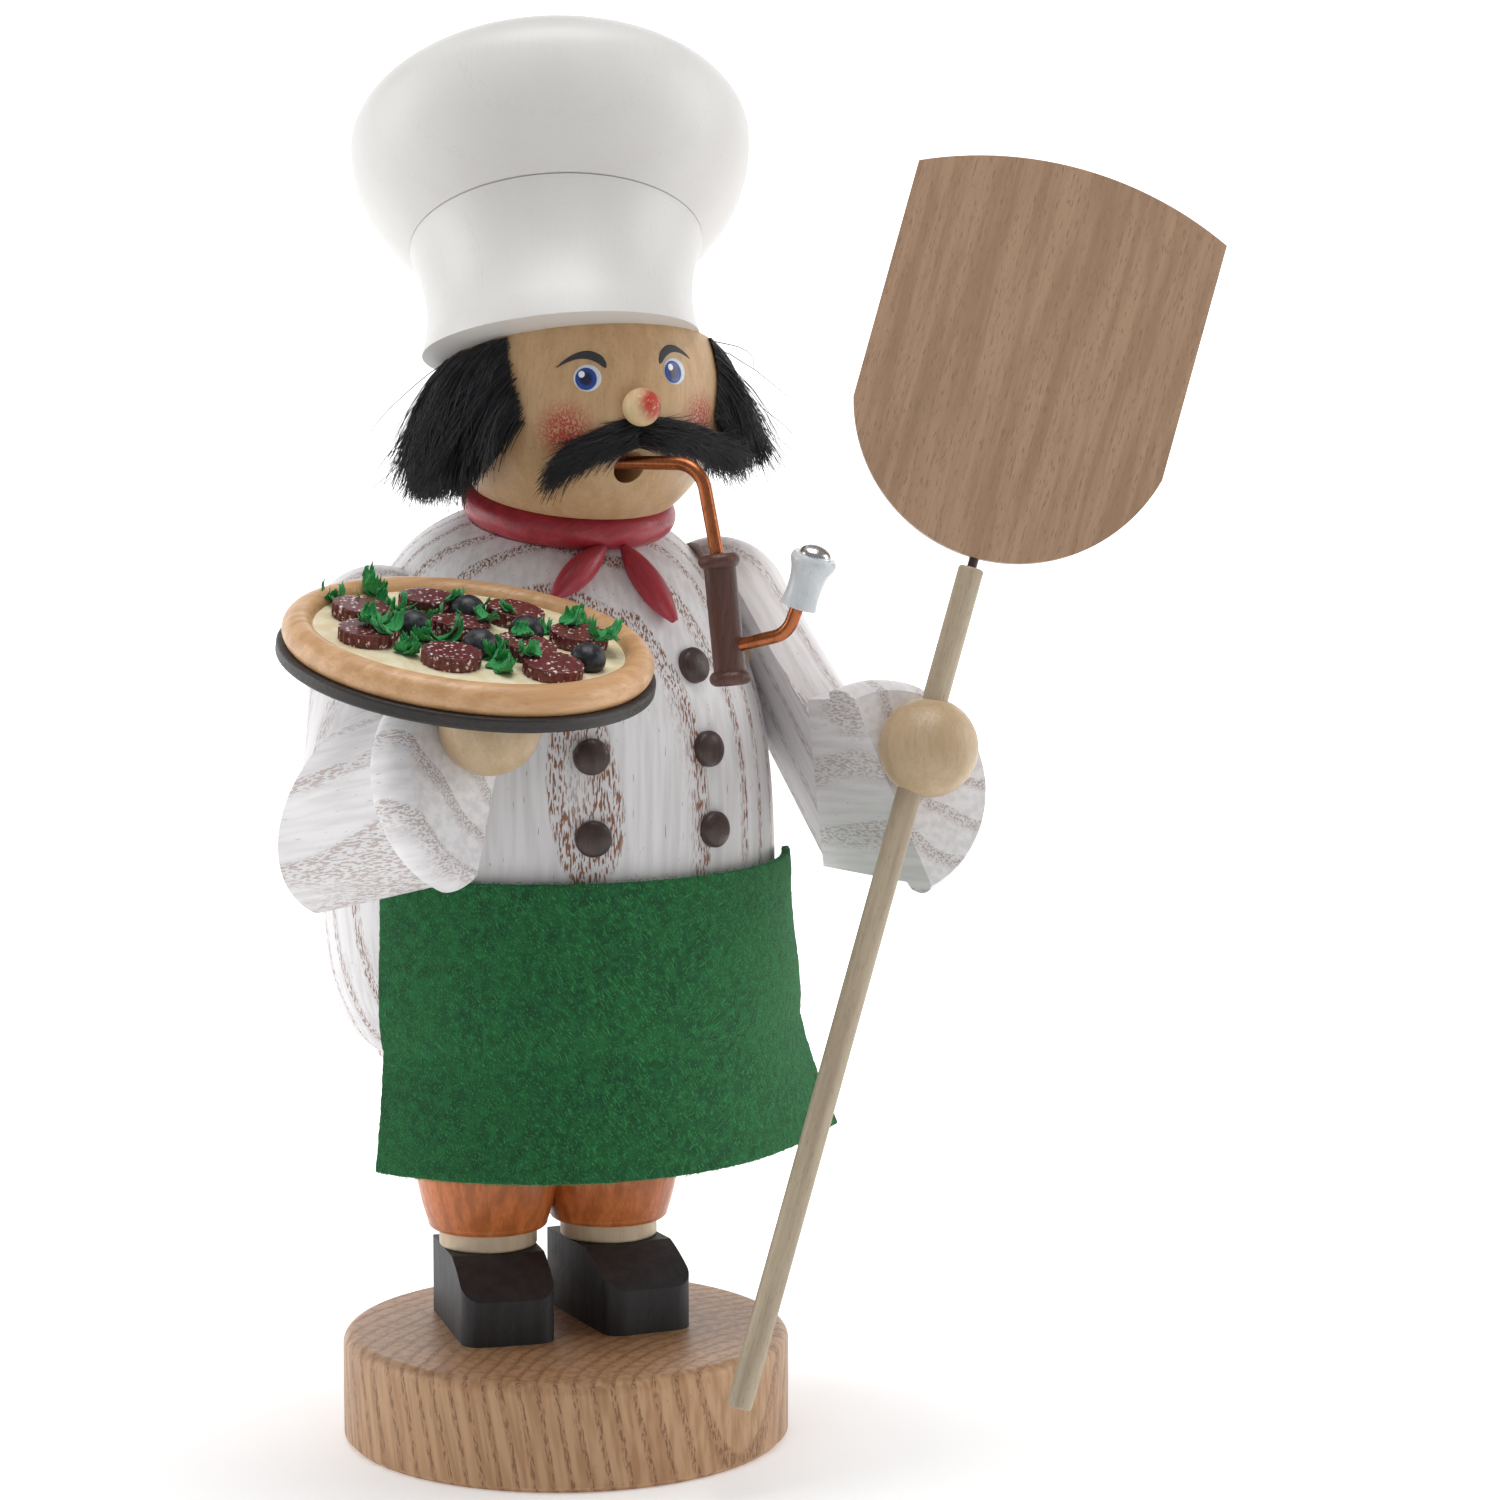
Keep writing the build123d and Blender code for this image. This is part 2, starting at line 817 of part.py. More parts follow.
def hat_dowel():
    start = rim_plane.from_local_coords((0, 0, -hat_dowel_depth))
    end = rim_plane.from_local_coords((0, 0, hat_dowel_depth))
    return shaft(start, end, dowel_radius)


def make_hat():
    """Band that flares to the rim and a flattened puff, parted by a sharp crease."""
    crease_radius = puff_radius * cos(radians(crease_angle))
    crease_drop = puff_drop * sin(radians(crease_angle))
    outline = [
        Line((0, -band_foot_drop), (band_foot_radius, -band_foot_drop)),
        Spline(
            (band_foot_radius, -band_foot_drop),
            (band_waist_radius, -band_waist_drop),
            (crease_radius, -crease_drop),
        ),
        EllipticalCenterArc((0, 0), puff_radius, puff_drop, -crease_angle, arc_size=crease_angle),
        dome(puff_radius, 0, puff_rise),
        Line((0, puff_rise), (0, -band_foot_drop)),
    ]
    hat = hat_plane() * turned(outline)
    hat = split(hat, bisect_by=rim_plane, keep=Keep.TOP)
    return hat - hat_dowel()


# Arms


def arm_plane(side, wrist, swing, lift, roll):
    """Plane of an arm's flat side, its X along the forearm and its Z away from the jacket."""
    turn = radians(swing)
    rise = radians(lift)
    tip = radians(roll)
    forward = Vector(sin(turn) * cos(rise), -cos(turn) * cos(rise), sin(rise))
    outward = Vector(side * cos(turn), side * sin(turn), 0)
    upward = forward.cross(outward) * side
    tilted = outward * cos(tip) + upward * sin(tip)
    return Plane(origin=wrist, x_dir=forward, z_dir=tilted)


def forearm_outline(length):
    """Forearm and turned-up cuff, as distance from the cut end and radius."""
    step = cuff_radius - limb_radius
    lip = step * cuff_lip_share
    lip_foot = (-cuff_length - lip, limb_radius)
    lip_top = (-cuff_length + lip, cuff_radius - lip)
    return [
        Polyline((0, 0), (-length, 0), (-length, elbow_radius), lip_foot),
        ThreePointArc(lip_foot, (-cuff_length, limb_radius + step / 2), lip_top),
        ThreePointArc(lip_top, (-cuff_crest, cuff_radius), (0, cuff_end_radius)),
        Line((0, cuff_end_radius), (0, 0)),
    ]


def upper_arm_outline(length):
    """Upper arm that swells at the elbow and ends in a ball at the shoulder."""
    behind = elbow_radius * elbow_overlap_share
    diagonal = upper_arm_radius * cos(radians(45))
    return [
        Line((-behind, 0), (-behind, elbow_radius)),
        Spline(
            (-behind, elbow_radius),
            (length * upper_arm_narrow_share, upper_arm_radius),
            (length, upper_arm_radius),
            tangents=((1, 0), (1, 0)),
        ),
        ThreePointArc(
            (length, upper_arm_radius),
            (length + diagonal, diagonal),
            (length + upper_arm_radius, 0),
        ),
        Line((length + upper_arm_radius, 0), (-behind, 0)),
    ]


def make_arm(side, plane):
    """Forearm and upper arm, split lengthwise and mitred together at the elbow."""
    elbow = Vector(-elbow_back, elbow_rise, 0)
    bone = Vector(-shoulder_back, shoulder_rise, 0) - elbow
    bone_angle = Axis((0, 0, 0), bone).direction
    mitre_line = (bone.normalized() + Vector(1, 0, 0)).normalized()
    mitre = Plane(origin=elbow, x_dir=(0, 0, 1), z_dir=Vector(mitre_line.Y, -mitre_line.X, 0))
    reach = elbow_back + elbow_radius * 2
    forearm = revolve(make_face(forearm_outline(reach)), Axis.X)
    upper = revolve(make_face(upper_arm_outline(bone.length)), Axis.X)
    upper = Plane(origin=elbow, x_dir=bone_angle, z_dir=(0, 0, 1)) * upper
    pieces = []
    for limb, keep in ((forearm, Keep.TOP), (upper, Keep.BOTTOM)):
        half = split(limb, bisect_by=Plane.XY, keep=Keep.TOP)
        half = split(half, bisect_by=mitre, keep=keep)
        half = half.solids().sort_by(SortBy.VOLUME)[-1]
        if side > 0:
            half = mirror(half, about=Plane.XZ)
        pieces.append(plane * half)
    return pieces


def arm_dowel(side, plane):
    """Dowel through the flat side, below the shoulder."""
    along_share = 0.75
    x = -elbow_back + (elbow_back - shoulder_back) * along_share
    y = elbow_rise + (shoulder_rise - elbow_rise) * along_share
    y = -y if side > 0 else y
    start = plane.from_local_coords((x, y, -arm_dowel_wall_depth))
    end = plane.from_local_coords((x, y, arm_dowel_depth))
    return shaft(start, end, arm_dowel_radius)


def hand_centre(side, plane):
    rise = -hand_rise if side > 0 else hand_rise
    return plane.from_local_coords((hand_forward, rise, hand_outward))


# Tray and pizza


def tray_plane():
    """Underside of the tray, resting on the right hand."""
    pitch = radians(tray_pitch)
    roll = radians(tray_roll)
    normal = Vector(sin(roll) * cos(pitch), -sin(pitch), cos(roll) * cos(pitch))
    return Plane(origin=tray_centre, x_dir=(cos(roll), 0, -sin(roll)), z_dir=normal)


def tray_peg(hand, plane):
    """Peg from inside the hand up to the tray's top."""
    place = plane.to_local_coords(hand)
    start = plane.from_local_coords((place.X, place.Y, -tray_peg_hand_depth))
    end = plane.from_local_coords((place.X, place.Y, tray_thickness))
    return shaft(start, end, tray_peg_radius)


def make_tray(plane):
    disc = Cylinder(tray_radius, tray_thickness, align=(Align.CENTER, Align.CENTER, Align.MIN))
    return plane * fillet(disc.edges().filter_by(GeomType.CIRCLE), tray_round)


def make_crust(plane):
    """Turned pizza base with a rolled edge and a straight-walled bed for the cheese."""
    crust_step = crust_height - crust_floor - cheese_thickness
    inner_width = crust_crest_radius - cheese_radius
    inner_radius = cheese_radius + inner_width * crust_inner_share
    inner_middle = (inner_radius, crust_height - crust_step * crust_inner_share)
    outline = [
        Line((0, 0), (crust_foot_radius, 0)),
        ThreePointArc(
            (crust_foot_radius, 0),
            (crust_radius, crust_height * crust_fullest_share),
            (crust_crest_radius, crust_height),
        ),
        ThreePointArc(
            (crust_crest_radius, crust_height),
            inner_middle,
            (cheese_radius, crust_height - crust_step),
        ),
        Polyline(
            (cheese_radius, crust_height - crust_step),
            (cheese_radius, crust_floor),
            (0, crust_floor),
            (0, 0),
        ),
    ]
    return plane.offset(tray_thickness) * turned(outline)


def cheese_plane(plane):
    return plane.offset(tray_thickness + crust_floor + cheese_thickness)


def make_cheese(plane):
    disc = Cylinder(cheese_radius, cheese_thickness, align=(Align.CENTER, Align.CENTER, Align.MAX))
    return cheese_plane(plane) * disc


def scattered(plane, place_shares, piece):
    """One piece copied to each place on the cheese."""
    top = cheese_plane(plane)
    solids = []
    for number, (x_share, y_share) in enumerate(place_shares):
        spot = Pos(x_share * cheese_radius, y_share * cheese_radius, 0) * Rot(0, 0, number * scatter_turn)
        solids += (top * spot * piece).solids()
    return Compound(solids)


def make_salami(plane):
    slice_disc = Cylinder(salami_radius, salami_thickness, align=(Align.CENTER, Align.CENTER, Align.MIN))
    return scattered(plane, salami_place_shares, slice_disc)


def make_olives(plane):
    olive = Pos(0, 0, olive_radius - olive_sink) * Sphere(olive_radius)
    olive = split(olive, bisect_by=Plane.XY, keep=Keep.TOP)
    return scattered(plane, olive_place_shares, olive)


def make_parsley(plane):
    """Small folded leaves, each a shallow roof of two halves."""
    rise = parsley_width / 2 * sin(radians(parsley_fold))
    roof = Polyline(
        (-parsley_width / 2, 0),
        (0, rise),
        (parsley_width / 2, 0),
        (parsley_width / 2, parsley_thickness),
        (0, rise + parsley_thickness),
        (-parsley_width / 2, parsley_thickness),
        close=True,
    )
    leaf = extrude(Plane.XZ * make_face([roof]), parsley_length / 2, both=True)
    return scattered(plane, parsley_place_shares, leaf)


# Peel


def handle_direction():
    return (Vector(*handle_top) - Vector(*handle_foot)).normalized()


def blade_plane():
    """Plane of the blade: Y runs on from the handle and Z is square to the blade."""
    up = handle_direction()
    across = Vector(up.Z, 0, -up.X)
    turn = radians(blade_turn)
    across = across * cos(turn) + up.cross(across) * sin(turn)
    origin = Vector(*handle_top) + up * pin_gap
    return Plane(origin=origin, x_dir=across, z_dir=across.cross(up))


def make_handle():
    rod = shaft(handle_foot, handle_top, handle_radius)
    rod = fillet(rod.edges().filter_by(GeomType.CIRCLE), handle_round)
    return rod - make_pin()


def make_pin():
    """Thin pin that joins handle and blade."""
    up = handle_direction()
    start = Vector(*handle_top) - up * pin_depth
    end = Vector(*handle_top) + up * (pin_gap + pin_depth)
    return shaft(start, end, pin_radius)


def make_blade():
    """Flat blade: rounded foot, straight sides and a gently bowed front edge."""
    half = blade_half_width
    shoulder = blade_foot_rise
    top = blade_foot_rise + blade_side_length
    outline = [
        ThreePointArc((-half, shoulder), (0, 0), (half, shoulder)),
        Line((half, shoulder), (half, top)),
        ThreePointArc((half, top), (0, top + blade_top_rise), (-half, top)),
        Line((-half, top), (-half, shoulder)),
    ]
    board = extrude(blade_plane() * make_face(outline), blade_thickness / 2, both=True)
    return board - make_pin()


# Pipe


def pipe_plane():
    """Upright plane of the pipe: X leaves the mouth and Y is up."""
    turn = radians(pipe_turn)
    out = Vector(sin(turn), -cos(turn), 0)
    origin = mouth_centre() + Vector(0, 0, wire_lift)
    return Plane(origin=origin, x_dir=out, z_dir=out.cross(Vector(0, 0, 1)))


def wire(points, bend_radius):
    """Bent copper wire along points in the pipe's plane."""
    path = pipe_plane() * FilletPolyline(*points, radius=bend_radius)
    return sweep(Plane(origin=path @ 0, z_dir=path % 0) * Circle(wire_radius), path=path)


def along(start, end, distance):
    """Point at a distance from start towards end."""
    line = Vector(*end) - Vector(*start)
    point = Vector(*start) + line.normalized() * distance
    return (point.X, point.Y)


barrel_top = (barrel_top_reach, -barrel_top_drop)
barrel_foot = (barrel_foot_reach, -barrel_foot_drop)
bowl_foot = (bowl_foot_reach, -bowl_foot_drop)
bowl_top = (bowl_top_reach, -bowl_top_drop)
arm_corner = (arm_wire_reach, -arm_wire_drop)


def make_stem():
    inside = along(barrel_top, barrel_foot, wire_socket_depth)
    return wire([(-stem_inset, 0), (stem_reach, 0), inside], stem_bend_radius)


def make_arm_wire():
    start = along(barrel_foot, barrel_top, arm_wire_rise)
    inside = along(bowl_foot, bowl_top, wire_socket_depth)
    return wire([start, arm_corner, inside], arm_bend_radius)


def turned_between(start, end, edges):
    """Turned piece standing on start, its axis towards end, in the pipe's plane."""
    plane = pipe_plane()
    foot = plane.from_local_coords(start)
    head = plane.from_local_coords(end)
    return Plane(origin=foot, z_dir=head - foot) * turned(edges)


def make_barrel(stem, arm_wire):
    """Dark barrel with a rounded collar at each end."""
    length = (Vector(*barrel_top) - Vector(*barrel_foot)).length
    collar = barrel_collar_height
    outline = [
        Line((0, 0), (barrel_radius, 0)),
        ThreePointArc((barrel_radius, 0), (barrel_collar_radius, collar / 2), (barrel_radius, collar)),
        Line((barrel_radius, collar), (barrel_radius, length - collar)),
        ThreePointArc(
            (barrel_radius, length - collar),
            (barrel_collar_radius, length - collar / 2),
            (barrel_radius, length),
        ),
        Polyline((barrel_radius, length), (0, length), (0, 0)),
    ]
    return turned_between(barrel_foot, barrel_top, outline) - stem - arm_wire


def make_bowl(arm_wire):
    """White waisted bowl."""
    length = (Vector(*bowl_top) - Vector(*bowl_foot)).length
    lip = length * bowl_lip_share
    mouth = bowl_rim_radius * bowl_mouth_share
    outline = [
        Line((0, 0), (bowl_foot_radius, 0)),
        Spline(
            (bowl_foot_radius, 0),
            (bowl_waist_radius, length * bowl_waist_share),
            (mouth, length - lip * 2),
            (bowl_rim_radius, length - lip),
            (mouth, length),
        ),
        Polyline((mouth, length), (0, length), (0, 0)),
    ]
    return turned_between(bowl_foot, bowl_top, outline) - arm_wire


def make_cap():
    """Domed steel cap on the bowl."""
    outline = [
        Line((0, 0), (cap_radius, 0)),
        dome(cap_radius, 0, cap_height),
        Line((0, cap_height), (0, 0)),
    ]
    beyond = Vector(*bowl_top) * 2 - Vector(*bowl_foot)
    return turned_between(bowl_top, (beyond.X, beyond.Y), outline)


# Stand

write("base_disc", make_base())
for name, side in (("right", -1), ("left", 1)):
    write(f"shoe_{name}", make_shoe(side))
    write(f"sock_{name}", make_sock(side))
    write(f"leg_{name}", make_leg(side))
write("leg_dowels", Compound([*leg_dowel(-1).solids(), *leg_dowel(1).solids()]))
write("hip_dowels", Compound([*hip_dowel(-1).solids(), *hip_dowel(1).solids()]))
write("seat_block", make_seat())
write("burner_dish", make_dish())
write("burner_nails", make_nails())

# Arms and what they hold

arm_sizes = {
    "right": (-1, right_wrist, right_swing, right_lift, right_roll),
    "left": (1, left_wrist, left_swing, left_lift, left_roll),
}
arm_pieces = {}
arm_dowels = []
hands = {}
for name, sizes in arm_sizes.items():
    plane = arm_plane(*sizes)
    side = sizes[0]
    dowel = arm_dowel(side, plane)
    forearm, upper = make_arm(side, plane)
    arm_pieces[name] = (forearm, upper)
    arm_dowels.append(dowel)
    hands[name] = hand_centre(side, plane)
    hand = ball(hands[name], hand_radius) - forearm
    if name == "right":
        tray_at = tray_plane()
        hand = split(hand, bisect_by=tray_at, keep=Keep.BOTTOM) - tray_peg(hands[name], tray_at)
    else:
        hand = hand - make_handle()
    write(f"forearm_{name}", forearm)
    write(f"upper_arm_{name}", upper - dowel)
    write(f"hand_{name}", hand)
write("arm_dowels", Compound([solid for dowel in arm_dowels for solid in dowel.solids()]))

peg = tray_peg(hands["right"], tray_at)
write("tray_peg", peg)
write("tray", make_tray(tray_at) - peg)
write("pizza_crust", make_crust(tray_at))
write("cheese_layer", make_cheese(tray_at))
write("salami_slices", make_salami(tray_at))
write("olives", make_olives(tray_at))
write("parsley", make_parsley(tray_at))
write("peel_handle", make_handle())
write("peel_pin", make_pin())
write("peel_blade", make_blade())

# Jacket and what it carries

seats = [piece for pair in arm_pieces.values() for piece in pair]
jacket = make_jacket(seats + arm_dowels)
write("jacket", jacket)
write("buttons", make_buttons())
write("apron", make_apron())

# Head and what it carries

scarf = make_scarf()
stem = make_stem()
arm_wire = make_arm_wire()
write("head", make_head(stem))
write("nose", make_nose())
write("scarf_ring", scarf)
tip_right = make_scarf_tip(-1, tip_right_angle, tip_right_rise, scarf)
write("scarf_tip_right", tip_right)
write("scarf_tip_left", make_scarf_tip(1, tip_left_angle, tip_left_rise, scarf) - tip_right)
write("hair", make_hair(scarf))
write("moustache", make_moustache())
write("hat", make_hat())
write("hat_dowel", hat_dowel())
write("pipe_stem", stem)
write("pipe_barrel", make_barrel(stem, arm_wire))
write("pipe_arm_wire", arm_wire)
write("pipe_bowl", make_bowl(arm_wire))
write("pipe_cap", make_cap())
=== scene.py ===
import random
from contextlib import contextmanager
from functools import partial
from math import asin, atan2, cos, degrees, exp, pi, radians, sin

import bpy
from bpy.props import FloatProperty, FloatVectorProperty, IntProperty, PointerProperty
from bpy.types import NodeSocket, Operator, Panel, PropertyGroup
from mathutils import Matrix, Vector, noise


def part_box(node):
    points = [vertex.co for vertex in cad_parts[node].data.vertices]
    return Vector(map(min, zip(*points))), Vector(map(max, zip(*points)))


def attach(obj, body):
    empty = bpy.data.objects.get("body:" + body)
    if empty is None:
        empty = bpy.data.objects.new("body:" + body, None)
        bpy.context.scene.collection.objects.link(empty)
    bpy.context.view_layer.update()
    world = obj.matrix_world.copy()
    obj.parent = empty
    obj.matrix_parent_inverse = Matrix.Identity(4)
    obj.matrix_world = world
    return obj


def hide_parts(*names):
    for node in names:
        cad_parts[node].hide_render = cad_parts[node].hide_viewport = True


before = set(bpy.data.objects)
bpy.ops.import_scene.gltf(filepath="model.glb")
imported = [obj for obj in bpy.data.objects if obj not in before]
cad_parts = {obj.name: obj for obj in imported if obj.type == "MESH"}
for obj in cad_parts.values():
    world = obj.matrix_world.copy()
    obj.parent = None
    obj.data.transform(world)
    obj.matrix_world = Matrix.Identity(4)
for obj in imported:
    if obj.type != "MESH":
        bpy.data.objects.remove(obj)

bl_info = {
    "name": "Incense smoker looks",
    "version": (1, 0, 0),
    "blender": (4, 5, 0),
    "location": "3D View > Sidebar > Smoker",
    "description": "Wood finishes, fur, felt, painted face, toppings and studio for a turned figure",
    "category": "Object",
}

# Sizes are written in millimetres and turned to metres by this factor
MM = 0.001

# Camera of the photograph: place, turn from +Y, drop below level, focal length in pixels, picture side
CAMERA_PLACE = Vector((-297.9, -638.9, 201.8)) * MM
CAMERA_TURN = radians(27.563)
CAMERA_DROP = radians(6.800)
FOCAL_PIXELS = 4200
PICTURE_PIXELS = 1500
SENSOR = 36

LOOK = Vector((sin(CAMERA_TURN) * cos(CAMERA_DROP), cos(CAMERA_TURN) * cos(CAMERA_DROP), -sin(CAMERA_DROP)))
SIDE = Vector((cos(CAMERA_TURN), -sin(CAMERA_TURN), 0))
RISE = SIDE.cross(LOOK)
DOWN = Vector((0, 0, -1))

# Studio: place that the lights face, and in metres how far off the sweep bends and how wide its bend is
LIT_PLACE = Vector((0, 0, 0.12))
SWEEP_BEND = 1.5

# Head ball, its mouth and the tenon under it
HEAD = Vector((0.5, -7.0, 177.5)) * MM
HEAD_RADIUS = 23.4 * MM
FACE_TURN = -3.5
MOUTH_RADIUS = 2.6 * MM
MOUTH = Vector((-0.85, -29.1, 166.8)) * MM
TENON_RADIUS = 8.0 * MM
TENON_LENGTH = 12.0 * MM

# Rolled scarf on the slanted neck: middle, half height, outer radius and forward tilt
NECK = Vector((0.5, -1.6, 159.0)) * MM
NECK_TILT = radians(13)
ROLL_HALF = 3.0 * MM
ROLL_RADIUS = 18.0 * MM

# Sawn face between head and hat
RIM = Vector((0.5, -5.0, 184.0)) * MM
RIM_NORMAL = Vector((0.03, 0.262, 0.965)).normalized()

# Chef's hat about its own leaning axis, in mm from the middle of its puff
PUFF = Vector((1.5, 7.0, 218.7)) * MM
HAT_LEAN = radians(27.4)
HAT_SIDE_LEAN = radians(10.5)
PUFF_RADIUS = 33.4
PUFF_RISE = 15.1
PUFF_DROP = 27.4
CREASE_ANGLE = radians(43.2)
BAND_WAIST = (22.1, -27.9)
BAND_LOW = (24.2, -42.5)
BAND_FOOT = -52.0
BAND_EASE = 4.0
BAND_STEPS = 60
PUFF_STEPS = (24, 40)

# Groove turned at the crease: two points, each as radius and height from the crease
GROOVE = ((-0.05, -0.3), (-0.55, -0.05))

# Steps round a turned piece, sides of a rod, and side of the block that saws
TURNING_STEPS = 160
ROD_SIDES = 48
SAW_BLOCK = 200 * MM

# Mouth bore: where it starts in front of the mouth, and how long it is
BORE_START = 3 * MM
BORE_LENGTH = 20 * MM

# Jacket outline, as in the turned body: share of its radius, share of its height
JACKET_RADIUS = 38.7 * MM
JACKET_HEIGHT = 93.5 * MM
JACKET_FOOT = Vector((0.5, 7.2, 66.0)) * MM
JACKET_SHARES = ((0.775, 0.012), (0.875, 0.043), (0.93, 0.088), (0.975, 0.155), (1.0, 0.33), (0.972, 0.543))

# Felt apron
APRON_RISE = 34.0 * MM
APRON_DROP = 49.2 * MM
APRON_THICKNESS = 1.3 * MM
APRON_GAP = 0.2 * MM
APRON_TURN = 1.0
APRON_HALF_ANGLE = 68.0
APRON_FLARES = (6.0 * MM, 5.5 * MM, 13.2 * MM)

# Half the felt's width and height in mm, which turn a fibre's length into a share
FELT_HALF = (47, 24.6)

# Fur: angle of its edge from the face, and in mm how far below the head's middle it is cut at the face,
# over the right ear and back, and over the left ear, and the angle over which the cut falls
HAIR_EDGE = 44
HAIR_CUTS = (5.0, 13.4, 9.6)
HAIR_CUT_SPREAD = 22

# Vector noise starts from the clock unless it is seeded with a number other than 0
CLUMP_SEED = 7

# Tray and the cheese on it
TRAY_CENTRE = Vector((-36.8, -43.3, 136.9)) * MM
TRAY_PITCH = radians(13.8)
TRAY_ROLL = radians(1.7)
CHEESE_RISE = 5.0 * MM
CHEESE_RADIUS = 24.3 * MM
OLIVE_RADIUS = 2.8 * MM
OLIVE_SINK = 1.3 * MM
OLIVE_SHARES = ((-0.35, 0.096), (0.15, 0.4), (-0.058, -0.292), (0.375, -0.033), (0.558, -0.592))
SLICE_RADIUS = 4.7 * MM
SLICE_THICKNESS = 2.2 * MM
SLICE_SHARES = (
    (-0.558, 0.471), (-0.696, 0.013), (-0.029, 0.642), (-0.017, 0.129), (0.467, 0.358),
    (0.708, -0.129), (0.254, -0.313), (-0.321, -0.458), (0.267, -0.708),
)

# Sprigs of green on the cheese: place in the photograph, leaf length in mm, number of leaves, height in mm
SPRIGS = (
    (333, 602, 4.2, 2, 2.6), (348, 608, 3.6, 2, 1.4), (373, 597, 6.2, 3, 3.0), (386, 613, 6.0, 4, 1.6),
    (401, 617, 4.5, 3, 1.0), (427, 620, 3.8, 4, 0.8), (444, 615, 3.2, 2, 0.8), (467, 613, 5.2, 2, 1.8),
    (477, 624, 4.8, 2, 1.4), (484, 634, 3.8, 2, 0.8), (373, 638, 4.2, 4, 1.2), (388, 646, 4.4, 4, 0.9),
    (403, 653, 4.2, 4, 0.8), (419, 640, 4.8, 2, 1.0), (439, 641, 6.0, 3, 1.2), (488, 657, 4.4, 4, 0.9),
    (503, 663, 4.4, 4, 0.8), (498, 670, 4.6, 4, 0.8), (529, 669, 4.0, 3, 0.8), (520, 649, 2.8, 2, 0.8),
    (508, 624, 2.4, 1, 0.8), (555, 635, 3.6, 3, 0.9), (567, 638, 4.0, 3, 0.9), (580, 630, 4.6, 1, 2.4),
    (601, 653, 5.0, 5, 0.9), (575, 622, 4.4, 1, 3.4),
)


# Small helpers


def colour(code):
    """Linear colour from an sRGB hex code."""
    shares = [int(code[k : k + 2], 16) / 255 for k in (0, 2, 4)]
    linear = [s / 12.92 if s <= 0.04045 else ((s + 0.055) / 1.055) ** 2.4 for s in shares]
    return (*linear, 1.0)


def only(obj):
    """Make one object the sole selected and active one."""
    bpy.ops.object.select_all(action="DESELECT")
    obj.select_set(True)
    bpy.context.view_layer.objects.active = obj


@contextmanager
def editing(obj):
    """Edit mode on one object with everything selected."""
    only(obj)
    bpy.ops.object.mode_set(mode="EDIT")
    bpy.ops.mesh.select_all(action="SELECT")
    yield
    bpy.ops.object.mode_set(mode="OBJECT")


def apply(obj, kind, **settings):
    """Add one modifier and apply it."""
    only(obj)
    modifier = obj.modifiers.new(kind.title(), kind)
    for key, value in settings.items():
        setattr(modifier, key, value)
    bpy.ops.object.modifier_apply(modifier=modifier.name)


def primitive(operator, **sizes):
    """New primitive, with nothing else selected."""
    bpy.ops.object.select_all(action="DESELECT")
    operator(**sizes)
    return bpy.context.active_object


def grid(name, columns, rows):
    """Square grid from -1 to 1 both ways, ready to be laid out by a rule."""
    obj = primitive(bpy.ops.mesh.primitive_grid_add, x_subdivisions=columns, y_subdivisions=rows, size=2)
    obj.name = name
    return obj


def lay_out(obj, rule):
    """Move every vertex to where a rule of its flat place puts it."""
    for vertex in obj.data.vertices:
        vertex.co = rule(vertex.co.x, vertex.co.y)
    obj.data.update()


def outward(obj):
    """Turn every face outwards and shade it smooth."""
    with editing(obj):
        bpy.ops.mesh.normals_make_consistent(inside=False)
        bpy.ops.mesh.faces_shade_smooth()


def settle(obj, material, body="figure"):
    """Give a finished piece its material and the body that it rides on."""
    obj.data.materials.clear()
    obj.data.materials.append(material)
    obj.data.name = obj.name
    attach(obj, body)


def join(pieces, name):
    """One object from several."""
    bpy.ops.object.select_all(action="DESELECT")
    for piece in pieces:
        piece.select_set(True)
    bpy.context.view_layer.objects.active = pieces[0]
    bpy.ops.object.join()
    pieces[0].name = name
    return pieces[0]


def new_object(name, data):
    """Object for a mesh, curve, light or camera, put into the scene."""
    obj = bpy.data.objects.new(name, data)
    bpy.context.scene.collection.objects.link(obj)
    return obj


def placed_copy(master, matrix, name):
    """Copy of a piece with its own mesh, put in place inside the mesh."""
    data = master.data.copy()
    data.transform(matrix)
    return new_object(name, data)


def standing(place, way):
    """Matrix that puts a piece at a place with its Z axis along a direction."""
    return Matrix.Translation(place) @ way.to_track_quat("Z", "Y").to_matrix().to_4x4()


def turned(name, profile, steps=TURNING_STEPS):
    """Piece spun from a profile of radius and height that ends on the axis or closes on itself."""
    data = bpy.data.meshes.new(name)
    joins = [(k, k + 1) for k in range(len(profile) - 1)]
    data.from_pydata([(radius, 0, height) for radius, height in profile], joins, [])
    obj = new_object(name, data)
    with editing(obj):
        bpy.ops.mesh.spin(steps=steps, angle=2 * pi, center=(0, 0, 0), axis=(0, 0, 1))
        bpy.ops.mesh.select_all(action="SELECT")
        bpy.ops.mesh.remove_doubles(threshold=0.002 * MM)
        bpy.ops.mesh.normals_make_consistent(inside=False)
    return obj


def combine(obj, other, operation):
    """Boolean of two pieces; the second is used up."""
    apply(obj, "BOOLEAN", object=other, operation=operation, solver="EXACT")
    bpy.data.objects.remove(other)


def saw(obj, place, normal):
    """Take off what lies beyond a plane."""
    block = primitive(bpy.ops.mesh.primitive_cube_add, size=SAW_BLOCK)
    block.data.transform(standing(place, normal) @ Matrix.Translation((0, 0, SAW_BLOCK / 2)))
    combine(obj, block, "DIFFERENCE")


